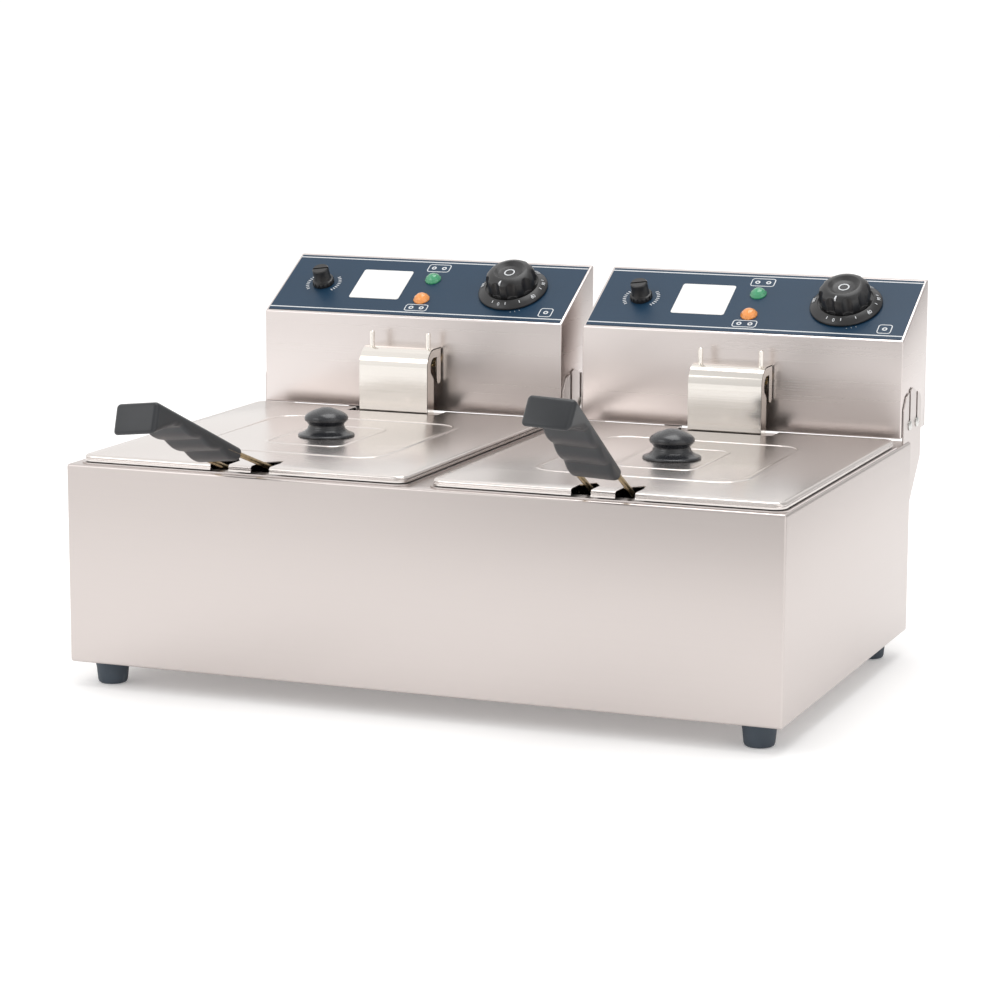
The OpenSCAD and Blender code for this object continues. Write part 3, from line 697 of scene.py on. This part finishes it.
def cutShieldNotch(lid, side, rearEdge, top):
    low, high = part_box(side + "_element_shield")
    x = (low.x + high.x) / 2
    half = lidParts["shieldWide"] / 2
    cutAway(lid, addRoundBlock("shieldNotch", (x - half, low.y - 0.005, top - 0.02),
                               (x + half, rearEdge + 0.02, top + 0.02),
                               lidParts["shieldCorner"]))


def makeLid(side):
    x = sides[side]["x"]
    low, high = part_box(side + "_lid")
    top = high.z - lidParts["outerBead"][1]
    sheet, corner, fold = lidParts["sheet"], lidParts["corner"], lidParts["fold"]
    lid = lidTray(side + "Lid", low + Vector((0, 0, lidParts["gap"])), (high.x, high.y, top),
                  corner, fold, 4)
    inside = lidTray("lidInside", low + Vector((sheet, sheet, -cutPast)),
                     (high.x - sheet, high.y - sheet, top - sheet), corner - sheet,
                     fold - sheet * 0.6, 3)
    cutAway(lid, inside)
    cutSkirtGroove(lid, low, high)
    cutWireNotches(lid, x, low.y, top)
    cutShieldNotch(lid, side, high.y, top)
    middle = (low.y + high.y) / 2
    beads = [pressBead(ring + "Bead", (x, middle), lidParts[ring + "Ring"], top,
                       lidParts[ring + "Bead"]) for ring in ("outer", "inner")]
    lidPiece = joinPieces(side + "Lid", [lid] + beads)
    finishPiece(lidPiece, side + "_lid_body", [side + "_lid"], finishes["lid_steel"], 30)


knobParts = {"flange": 0.02175, "neck": 0.0136, "cap": 0.0168}


def makeLidKnob(side):
    low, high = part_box(side + "_lid_knob")
    flange, neck, cap = knobParts["flange"], knobParts["neck"], knobParts["cap"]
    outline = [(0, 0), (flange - 0.0008, 0), (flange - 0.0002, 0.0003), (flange, 0.0009),
               (flange - 0.0004, 0.0016), (flange - 0.0014, 0.0021), (flange - 0.0040, 0.0030),
               (neck + 0.0026, 0.0042), (neck + 0.0011, 0.0054), (neck + 0.0006, 0.0066),
               (neck + 0.0006, 0.0072), (neck, 0.0076), (neck, 0.0088), (neck + 0.0006, 0.0096),
               (neck + 0.0010, 0.0102), (cap - 0.0016, 0.0110), (cap - 0.0004, 0.0120),
               (cap, 0.0134), (cap - 0.0002, 0.0146), (cap - 0.0010, 0.0160),
               (cap - 0.0030, 0.0176), (cap - 0.0060, 0.0192), (cap - 0.0100, 0.0206),
               (0.0040, 0.0216), (0, 0.0219)]
    knob = spinShape(side + "LidKnob", outline, 64)
    placePiece(knob, Matrix.Translation(((low.x + high.x) / 2, (low.y + high.y) / 2, low.z)))
    finishPiece(knob, side + "_lid_body", [side + "_lid_knob"],
                finishes["knob_black"], 60)


for side in sides:
    makeLid(side)
    makeLidKnob(side)
print("lids done")


gripParts = {"length": 0.104, "slope": 34.7, "thick": 0.0095, "start": (0.0445, 0.0312),
             "nose": (0.152, 0.0772), "wide": 0.0350, "round": 0.0036,
             "fingers": 4, "wave": 0.0024, "waveFrom": 0.006, "waveShort": 0.026}
wireParts = {"at": 0.0155, "radius": 0.002, "slope": 29.5, "in": 0.042, "run": 0.075,
             "foot": 0.020, "bend": 0.0045}


def handleTurn(side):
    drop, roll, lean = (math.radians(value) for value in sides[side]["turn"])
    return (Matrix.Rotation(lean, 4, "Z") @ Matrix.Rotation(roll, 4, "Y")
            @ Matrix.Rotation(drop, 4, "X"))


# a wire's knuckle, across from the handle's middle
def knucklePlace(side, across):
    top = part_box(side + "_basket_mesh")[1].z
    roll = math.radians(sides[side]["turn"][1])
    return Vector((sides[side]["x"] + across, frontY + wireParts["in"],
                   top + sides[side]["knuckle"] - across * math.tan(roll)))


# (y, z) from the knuckle, given along the grip's top line and down from it
def gripPoint(along, down):
    slope = math.radians(gripParts["slope"])
    y, z = gripParts["start"]
    return (-y - along * math.cos(slope) - down * math.sin(slope),
            z + along * math.sin(slope) - down * math.cos(slope))


def makeGrip(side):
    length, thick = gripParts["length"], gripParts["thick"]
    noseY, noseZ = -gripParts["nose"][0], gripParts["nose"][1]
    outline = [gripPoint(0, 0), gripPoint(0, thick - 0.001)]
    # finger waves along the underside
    steps = 40
    for i in range(steps + 1):
        along = gripParts["waveFrom"] + (length - gripParts["waveShort"]) * i / steps
        wave = abs(math.sin(math.pi * gripParts["fingers"] * along / length))
        outline.append(gripPoint(along, thick + gripParts["wave"] * wave))
    # the nose: back of its foot, its front edge, its top edge
    outline += [(noseY + 0.030, noseZ - 0.0055), (noseY + 0.0006, noseZ - 0.0040),
                (noseY + 0.0135, noseZ + 0.0164)]
    half = gripParts["wide"] / 2
    grip = pullOutline(side + "Grip", outline, -half, half)
    softenEdges(grip, gripParts["round"], 6, 50, False)
    placePiece(grip, Matrix.Translation(knucklePlace(side, 0)) @ handleTurn(side))
    finishPiece(grip, side + "_basket", [side + "_handle_grip"], finishes["grip"], 40)


def makeHandleWires(side):
    slope = math.radians(wireParts["slope"])
    way = Vector((0, -math.cos(slope), math.sin(slope)))
    run = handleTurn(side) @ (way * wireParts["run"])
    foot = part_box(side + "_basket_mesh")[0].z + wireParts["foot"]
    wires = []
    for across in (-wireParts["at"], wireParts["at"]):
        turn = knucklePlace(side, across)
        points = [(turn.x, turn.y, foot), turn, turn + run]
        wires.append(bendTube("wire", points, wireParts["radius"], wireParts["bend"], 4))
    finishPiece(joinPieces(side + "HandleWires", wires), side + "_basket",
                [side + "_handle_wires"], finishes["handle_wire"], 60)


basketParts = {"pitch": 0.0075, "wire": 0.0005, "corner": 0.012, "rim": 0.0025,
               "rimCorner": 0.010, "hoop": 0.002, "hoopIn": 0.060, "hoopCorner": 0.012}
hookParts = {"shift": -0.002, "half": 0.020, "reach": 0.012, "corner": 0.006}


def makeBasketMesh(side):
    low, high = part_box(side + "_basket_mesh")
    wire = basketParts["wire"]
    low = low + Vector((wire, wire, wire))
    high = high - Vector((wire, wire, 0))
    # a cage of faces, cut into squares, then turned into wires
    cage = addBlock(side + "BasketMesh", low, high)
    editPiece(cage)
    selectFaces(cage, lambda face: face.normal.z > 0.9)
    bpy.ops.mesh.delete(type="FACE")
    selectEdges(cage, lambda a, b: near(a.x, b.x) and near(a.y, b.y))
    bpy.ops.mesh.bevel(offset=basketParts["corner"], segments=3, affect="EDGES")
    bpy.ops.object.mode_set(mode="OBJECT")
    for axis in range(3):
        count = round((high[axis] - low[axis]) / basketParts["pitch"])
        for i in range(1, count):
            place = Vector((0, 0, 0))
            place[axis] = low[axis] + (high[axis] - low[axis]) * i / count
            way = Vector((0, 0, 0))
            way[axis] = 1
            editPiece(cage)
            bpy.ops.mesh.select_all(action="SELECT")
            bpy.ops.mesh.bisect(plane_co=place, plane_no=way)
            bpy.ops.object.mode_set(mode="OBJECT")
    applyModifier(cage, "WIREFRAME", thickness=wire * 2, use_boundary=True,
                  use_even_offset=False)
    finishPiece(cage, side + "_basket", [side + "_basket_mesh"],
                finishes["basket_mesh"], 0)


def makeBasketFrame(side):
    meshLow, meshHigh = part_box(side + "_basket_mesh")
    rim, hoop = basketParts["rim"], basketParts["hoop"]
    z = meshHigh.z + rim
    left, right = meshLow.x + rim, meshHigh.x - rim
    front, back = meshLow.y + rim, meshHigh.y - rim
    tubes = [bendTube("rim", loopPoints(left, front, right, back, z), rim,
                      basketParts["rimCorner"], 4, ring=True)]
    outLeft, outRight, below = meshLow.x - hoop, meshHigh.x + hoop, meshLow.z - hoop
    for y in (meshLow.y + basketParts["hoopIn"], meshHigh.y - basketParts["hoopIn"]):
        points = [(outLeft, y, meshHigh.z), (outLeft, y, below), (outRight, y, below),
                  (outRight, y, meshHigh.z)]
        tubes.append(bendTube("hoop", points, hoop, basketParts["hoopCorner"], 3))
    middle = sides[side]["x"] + hookParts["shift"]
    half, reach = hookParts["half"], meshHigh.y + hookParts["reach"]
    hook = [(middle - half, back, z), (middle - half, reach, z), (middle + half, reach, z),
            (middle + half, back, z)]
    tubes.append(bendTube("hook", hook, hoop, hookParts["corner"], 3))
    finishPiece(joinPieces(side + "BasketFrame", tubes), side + "_basket",
                [side + "_basket_frame"], finishes["basket_wire"], 60)


for side in sides:
    makeGrip(side)
    makeHandleWires(side)
    makeBasketMesh(side)
    makeBasketFrame(side)
print("baskets done")


headParts = {"sheet": 0.001, "fold": 0.0011}


# the head's side view: inset by the sheet and reaching past the back and bottom for a cutter
def headOutline(inset, past):
    slope = panel["slope"]
    turn = inset * math.tan(slope / 2)
    top = panel["z"] + panel["length"] * math.sin(slope)
    back = headHigh.y
    return [(headY + inset, headLow.z - past), (headY + inset, panel["z"] - turn),
            (headY + panel["run"] - turn, top - inset), (back + past, top - inset),
            (back + past, headLow.z - past)]


# a place on the sloping panel, from its lower edge's middle
def panelPlace(side, x=0.0, up=0.0):
    return (Matrix.Translation((sides[side]["x"] + x, headY, panel["z"]))
            @ Matrix.Rotation(panel["slope"], 4, "X") @ Matrix.Translation((0, up, 0)))


def makeHead(side):
    low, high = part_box(side + "_head_shell")
    sheet = headParts["sheet"]
    head = pullOutline(side + "Head", headOutline(0, 0), low.x, high.x)
    softenEdges(head, headParts["fold"], 3, 20)
    inside = pullOutline("headInside", headOutline(sheet, cutPast), low.x + sheet,
                         high.x - sheet)
    cutAway(head, inside)
    finishPiece(head, side + "_head", [side + "_head_shell"],
                finishes["head_steel"], 30)


# places on the panel are its own x and the distance up the slope; a tick is given by its
# distance from the centre, its length and its width
filmParts = {"thick": 0.0004, "edge": 0.0022, "lines": (0.0058, 0.0770), "line": 0.0011}
capParts = {"x": -0.0935, "up": 0.0415, "radius": 0.0070, "height": 0.0145, "foot": 0.0090,
            "bore": 0.0046, "off": 0.0007, "slotTurn": 14, "ribs": 16}
dialParts = {"x": 0.0745, "up": 0.043, "skirt": 0.0285, "body": 0.0205, "height": 0.020,
             "gap": 0.0008, "flutes": 9}
markParts = {
    "ink": 0.0001, "frameLine": 0.0008, "frameCorner": 0.0022,
    "frames": ((-0.0095, 0.0645, 0.0095, 0.0745), (-0.0095, 0.0090, 0.0095, 0.0175),
               (0.1065, 0.0095, 0.1170, 0.0205)),
    "spots": ((-0.0045, 0.0695), (0.0045, 0.0695), (-0.0045, 0.0132), (0.0045, 0.0132),
              (0.1118, 0.0150)),
    "spotHole": 0.0010, "spotOut": 0.0021,
    "capTicks": 9, "capStarts": (-40, 140), "capStep": 10, "capTick": (0.0125, 0.0026, 0.0008),
    "dialTicks": 3, "dialStart": -62, "dialStep": -7, "dialTick": (0.0300, 0.0009, 0.0004),
    "plate": (-0.064, 0.023, -0.020, 0.063),
}


# a flat strip of ink on the film
def inkStrip(x0, s0, x1, s1):
    thick, ink = filmParts["thick"], markParts["ink"]
    return addBlock("ink", (x0, s0, thick - ink), (x1, s1, thick + ink))


def inkFrame(x0, s0, x1, s1):
    loop = bendTube("inkFrame", loopPoints(x0, s0, x1, s1), markParts["frameLine"] / 2,
                    markParts["frameCorner"], 1, ring=True)
    flat = Matrix.Translation((0, 0, filmParts["thick"])) @ Matrix.Diagonal((1, 1, 0.3, 1))
    return placePiece(loop, flat)


# a short stroke that points away from a centre
def inkTick(centre, angle, stroke):
    radius, length, wide = stroke
    tick = inkStrip(radius, -wide / 2, radius + length, wide / 2)
    return placePiece(tick, Matrix.Translation((*centre, 0)) @ Matrix.Rotation(angle, 4, "Z"))


def inkSpot(centre):
    hole, out, high = markParts["spotHole"], markParts["spotOut"], 2 * markParts["ink"]
    spot = spinShape("spot", [(hole, 0), (out, 0), (out, high), (hole, high), (hole, 0)], 16)
    return placePiece(spot, Matrix.Translation((*centre, filmParts["thick"] - markParts["ink"])))


def makeFilm(side):
    low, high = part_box(side + "_panel_overlay")
    half = (high.x - low.x) / 2
    edge = filmParts["edge"]
    film = addBlock(side + "Film", (-half, edge, 0),
                    (half, panel["length"] - edge, filmParts["thick"]))
    softenEdges(film, 0.00015, 1)
    placePiece(film, panelPlace(side))
    finishPiece(film, side + "_head", [side + "_panel_overlay"], finishes["overlay"])


def makePanelMarks(side):
    low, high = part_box(side + "_panel_overlay")
    half = (high.x - low.x) / 2
    marks = [inkStrip(-half, s, half, s + filmParts["line"]) for s in filmParts["lines"]]
    marks += [inkFrame(*corners) for corners in markParts["frames"]]
    marks += [inkSpot(centre) for centre in markParts["spots"]]
    for i in range(markParts["capTicks"]):
        for start in markParts["capStarts"]:
            angle = math.radians(start + i * markParts["capStep"])
            marks.append(inkTick((capParts["x"], capParts["up"]), angle, markParts["capTick"]))
    for i in range(markParts["dialTicks"]):
        angle = math.radians(markParts["dialStart"] + i * markParts["dialStep"])
        marks.append(inkTick((dialParts["x"], dialParts["up"]), angle, markParts["dialTick"]))
    ink = joinPieces(side + "PanelMarks", marks)
    placePiece(ink, panelPlace(side))
    finishPiece(ink, side + "_head", [], finishes["ink"])


# the plain plate between the reset cap and the lamps
def makePanelPlate(side):
    x0, s0, x1, s1 = markParts["plate"]
    thick = filmParts["thick"]
    plate = addRoundBlock(side + "PanelPlate", (x0, s0, thick - 0.0001),
                          (x1, s1, thick + 0.0004), 0.002, 3)
    softenEdges(plate, 0.0002, 1)
    placePiece(plate, panelPlace(side))
    finishPiece(plate, side + "_head", [], finishes["plate"])


# angles in degrees from the panel's x, numbers and ticks round the dial's cone
scaleParts = {"ticks": 11, "firstTick": -112, "tickStep": 27, "tickOut": 0.0032,
              "labels": ("60", "90", "120", "150", "180", "200"), "firstLabel": -30,
              "labelStep": 42, "zeroAt": -98, "labelOut": 0.0052, "textSize": 0.0042,
              "textRise": 0.00008, "pointerTurn": -8}


def makeDial(side):
    skirt, body, height = dialParts["skirt"], dialParts["body"], dialParts["height"]
    base = spinShape("dialSkirt", [(0, 0), (skirt - 0.0006, 0), (skirt, 0.0005),
                                   (skirt, 0.0014), (skirt - 0.0006, 0.0022),
                                   (body + 0.0020, 0.0052), (body + 0.0014, 0.0054),
                                   (body + 0.0012, 0.0042), (0, 0.0042)], 72)
    cap = spinShape("dialBody", [(0, 0.0040), (body - 0.0002, 0.0040), (body, 0.0046),
                                 (body - 0.0004, height - 0.0062),
                                 (body - 0.0014, height - 0.0034),
                                 (body - 0.0044, height - 0.0010),
                                 (body - 0.0068, height - 0.0002), (body - 0.0078, height),
                                 (body - 0.0086, height - 0.0003),
                                 (body - 0.0108, height - 0.0022),
                                 (body - 0.0126, height - 0.0027), (0, height - 0.0028)], 96)
    for i in range(dialParts["flutes"]):
        angle = math.tau * (i + 0.25) / dialParts["flutes"]
        flute = spinShape("flute", [(0, 0.0056), (0.0046, 0.0056), (0.0050, 0.0062),
                                    (0.0058, height + 0.004), (0, height + 0.004)], 24)
        around = Matrix.Rotation(angle, 4, "Z") @ Matrix.Translation((body + 0.0022, 0, 0))
        cutAway(cap, placePiece(flute, around))
    softenEdges(cap, 0.0004, 2, 30)
    dial = joinPieces(side + "Dial", [base, cap])
    place = (panelPlace(side, dialParts["x"], dialParts["up"])
             @ Matrix.Translation((0, 0, dialParts["gap"])))
    placePiece(dial, place)
    finishPiece(dial, side + "_dial", [side + "_thermostat_knob"],
                finishes["dial_black"], 40)
    scale = makeDialScale(side)
    placePiece(scale, place)
    finishPiece(scale, side + "_dial", [], finishes["ink"])


# ring in the dish, pointer, ticks and numbers
def makeDialScale(side):
    skirt, body, height = dialParts["skirt"], dialParts["body"], dialParts["height"]
    dish = height - 0.0029
    marks = [spinShape("ring", [(0.0034, dish), (0.0044, dish), (0.0044, dish + 0.0004),
                                (0.0034, dish + 0.0004), (0.0034, dish)], 32)]
    pointer = addBlock("pointer", (-0.0005, -0.0186, height - 0.0032),
                       (0.0005, -0.0140, height - 0.0006))
    turned = Matrix.Rotation(math.radians(scaleParts["pointerTurn"]), 4, "Z")
    marks.append(placePiece(pointer, turned))
    rise = math.atan2(0.0030, skirt - body - 0.0026)
    for i in range(scaleParts["ticks"]):
        angle = math.radians(scaleParts["firstTick"] + i * scaleParts["tickStep"])
        tick = addBlock("tick", (0, -0.0003, 0), (0.0022, 0.0003, 0.0002))
        lay = conePlace(angle, body + scaleParts["tickOut"], 0.0047, rise)
        marks.append(placePiece(tick, lay))
    for i, label in enumerate(scaleParts["labels"]):
        angle = math.radians(scaleParts["firstLabel"] + i * scaleParts["labelStep"])
        marks.append(dialNumber(label, angle, rise))
    marks.append(dialNumber("0", math.radians(scaleParts["zeroAt"]), rise))
    return joinPieces(side + "DialMarks", marks)


def conePlace(angle, radius, height, rise):
    return (Matrix.Rotation(angle, 4, "Z") @ Matrix.Translation((radius, 0, height))
            @ Matrix.Rotation(rise, 4, "Y"))


# a number lying on the dial's cone, its foot towards the rim
def dialNumber(label, angle, rise):
    clearSelection()
    bpy.ops.object.text_add()
    words = bpy.context.object
    words.data.body = label
    words.data.size = scaleParts["textSize"]
    words.data.align_x = "CENTER"
    words.data.align_y = "CENTER"
    words.data.extrude = scaleParts["textRise"]
    words.data.resolution_u = 3
    bpy.ops.object.convert(target="MESH")
    lay = conePlace(angle, dialParts["body"] + scaleParts["labelOut"], 0.0039, rise)
    return placePiece(words, lay @ Matrix.Rotation(math.pi / 2, 4, "Z"))


lampParts = {"x": 0.0005, "green": 0.053, "amber": 0.025, "rim": 0.0068}


def makeLamp(side, tint):
    rim = lampParts["rim"]
    dome = spinShape(side + tint.title() + "Lamp",
                     [(0, 0), (rim, 0), (rim, 0.0010), (rim - 0.0004, 0.0016),
                      (rim - 0.0014, 0.0030), (rim - 0.0032, 0.0044), (0.0012, 0.0052),
                      (0, 0.0052)], 14)
    placePiece(dome, panelPlace(side, lampParts["x"], lampParts[tint])
               @ Matrix.Translation((0, 0, filmParts["thick"])))
    finishPiece(dome, side + "_head", [side + "_" + tint + "_lamp"],
                finishes["lamp_" + tint], 0)


def makeResetCap(side):
    radius, height, foot = capParts["radius"], capParts["height"], capParts["foot"]
    bore, inside = capParts["bore"], height - 0.0026
    cap = spinShape(side + "ResetCap",
                    [(bore, 0), (foot, 0), (foot, 0.0030), (foot - 0.0004, 0.0036),
                     (radius + 0.0004, 0.0040), (radius, 0.0046),
                     (radius - 0.0002, height - 0.0008), (radius - 0.0009, height),
                     (0, height), (0, inside), (bore, inside), (bore, 0)], 48)
    slot = addBlock("slot", (-0.012, -0.0008, height - 0.0014), (0.012, 0.0008, height + 0.002))
    turned = Matrix.Rotation(math.radians(capParts["slotTurn"]), 4, "Z")
    cutAway(cap, placePiece(slot, turned))
    for i in range(capParts["ribs"]):
        rib = addBlock("rib", (foot - 0.0005, -0.0005, 0.0006), (foot + 0.002, 0.0005, 0.008))
        angle = math.tau * i / capParts["ribs"]
        cutAway(cap, placePiece(rib, Matrix.Rotation(angle, 4, "Z")))
    placePiece(cap, panelPlace(side, capParts["x"], capParts["up"])
               @ Matrix.Translation((0, 0, capParts["off"])))
    finishPiece(cap, side + "_cap", [side + "_reset_cap"], finishes["dial_black"])


for side in sides:
    makeHead(side)
    makeFilm(side)
    makePanelMarks(side)
    makePanelPlate(side)
    makeDial(side)
    makeLamp(side, "green")
    makeLamp(side, "amber")
    makeResetCap(side)
print("control heads done")


shieldParts = {"sheet": 0.0012, "radius": 0.0146, "band": 0.0075, "flange": 0.014,
               "legEnd": 0.032, "legRound": 0.004, "pinAt": 0.0245, "pin": 0.002,
               "pinHeight": 0.0124}


# part of a circle in (y, z): 180 degrees is its front and 90 its top
def arcPoints(y, z, radius, start, end, steps=10):
    points = []
    for i in range(steps + 1):
        angle = math.radians(start + (end - start) * i / steps)
        points.append((y + radius * math.cos(angle), z + radius * math.sin(angle)))
    return points


def makeShield(side):
    low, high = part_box(side + "_element_shield")
    x = (low.x + high.x) / 2
    half = (high.x - low.x) / 2
    sheet, radius, band = shieldParts["sheet"], shieldParts["radius"], shieldParts["band"]
    top = high.z - shieldParts["pinHeight"] + 0.0004
    bendY, bendZ = low.y + radius, top - radius
    skin = [(low.y, low.z)] + arcPoints(bendY, bendZ, radius, 180, 90) + [(headY, top)]
    skin += [(headY, top - sheet)] + arcPoints(bendY, bendZ, radius - sheet, 90, 180)
    skin += [(low.y + sheet, low.z)]
    front = pullOutline("shieldFront", skin, x - half, x + half)
    legZ, legRound = deckZ + shieldParts["legEnd"], shieldParts["legRound"]
    cheek = [(low.y + 0.0004, low.z)] + arcPoints(bendY, bendZ, radius - 0.0004, 180, 90)
    cheek += [(headY - 0.003, top - 0.0004)]
    cheek += arcPoints(headY - 0.007, legZ, legRound, 0, -180, 8)
    cheek += [(headY - 0.011, top - band)]
    cheek += arcPoints(bendY, bendZ, radius - band, 90, 180)
    cheek += [(low.y + band, bendZ - 0.004), (low.y + shieldParts["flange"], bendZ - 0.010),
              (low.y + shieldParts["flange"], low.z)]
    parts = [front]
    thick = shieldParts["pin"]
    for way in (-1, 1):
        outer = x + way * half
        inner = outer - way * sheet
        parts.append(pullOutline("cheek", cheek, min(outer, inner), max(outer, inner)))
        pin = spinShape("pin", [(0, -0.0008), (thick, -0.0008), (thick, 0.0118),
                                (thick - 0.0004, 0.0122), (0, 0.0122)], 20)
        pinPlace = (x + way * shieldParts["pinAt"], bendY, top - 0.0002)
        parts.append(placePiece(pin, Matrix.Translation(pinPlace)))
    shield = joinPieces(side + "Shield", parts)
    finishPiece(shield, side + "_head", [side + "_element_shield"],
                finishes["bright_steel"], 35)


nutParts = {"shift": -0.002, "apart": 0.022}


# flanged nuts: a round flange, a hexagon and a round end
def makeNuts(side):
    low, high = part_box(side + "_element_nuts")
    z = (low.z + high.z) / 2
    nuts = []
    for way in (-1, 1):
        x = sides[side]["x"] + nutParts["shift"] + way * nutParts["apart"]
        nut = spinShape("nut", [(0.0041, 0), (0.0062, 0), (0.0062, 0.0036), (0.0056, 0.0042),
                                (0.0050, 0.0044), (0.0050, 0.0084), (0.0046, 0.0088),
                                (0.0041, 0.0088), (0.0041, 0)], 36)
        hexagon = spinShape("hexagon", [(0.0045, 0.0010), (0.0062, 0.0010), (0.0062, 0.0052),
                                        (0.0045, 0.0052), (0.0045, 0.0010)], 6)
        lay = Matrix.Translation((x, headY, z)) @ Matrix.Rotation(math.pi / 2, 4, "X")
        nuts += [placePiece(nut, lay), placePiece(hexagon, lay)]
    finishPiece(joinPieces(side + "ElementNuts", nuts), side + "_head",
                [side + "_element_nuts"], finishes["brass"], 30)


elementParts = {"tube": 0.004, "leg": 0.022, "legIn": 0.298, "reach": 0.080, "front": 0.0653,
                "rear": 0.2767, "inHead": 0.012, "bend": 0.010, "inset": 0.0002}


def makeElement(side):
    low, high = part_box(side + "_heating_element")
    x = (low.x + high.x) / 2
    tube = elementParts["tube"]
    floorZ = low.z + tube + elementParts["inset"]
    topZ = high.z - tube - elementParts["inset"]
    legY, endY = frontY + elementParts["legIn"], headY + elementParts["inHead"]
    front, rear = frontY + elementParts["front"], frontY + elementParts["rear"]
    leg, reach = elementParts["leg"], elementParts["reach"]
    inner = reach / 3
    half = [(-leg, endY, topZ), (-leg, legY, topZ), (-leg, legY, floorZ),
            (-reach, legY, floorZ), (-reach, front, floorZ), (-inner, front, floorZ),
            (-inner, rear, floorZ)]
    points = half + [(-px, py, pz) for px, py, pz in reversed(half)]
    points = [(x + px, py, pz) for px, py, pz in points]
    piece = bendTube(side + "Element", points, tube, elementParts["bend"], 4)
    finishPiece(piece, side + "_head", [side + "_heating_element"],
                finishes["element"], 60)


# headed studs: a flange inside, a neck, and a rounded cap outside
def makeStuds(side):
    low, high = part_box(side + "_hanger_studs")
    z = (low.z + high.z) / 2
    radius = (high.z - low.z) / 2
    studs = []
    for way, outer in ((-1, low.x), (1, high.x)):
        for y in (low.y + radius, high.y - radius):
            stud = spinShape("stud", [(0, -0.0066), (0.0038, -0.0066), (0.0038, -0.0046),
                                      (0.0021, -0.0046), (0.0021, -0.0015), (0.0040, -0.0015),
                                      (0.0040, -0.0010), (0.0034, -0.0004), (0.0020, 0),
                                      (0, 0)], 24)
            lay = (Matrix.Translation((outer, y, z))
                   @ Matrix.Rotation(way * math.pi / 2, 4, "Y"))
            studs.append(placePiece(stud, lay))
    finishPiece(joinPieces(side + "HangerStuds", studs), side + "_head",
                [side + "_hanger_studs"], finishes["zinc"], 40)


for side in sides:
    makeShield(side)
    makeNuts(side)
    makeElement(side)
    makeStuds(side)
print("shields, elements and studs done")

clearSelection()
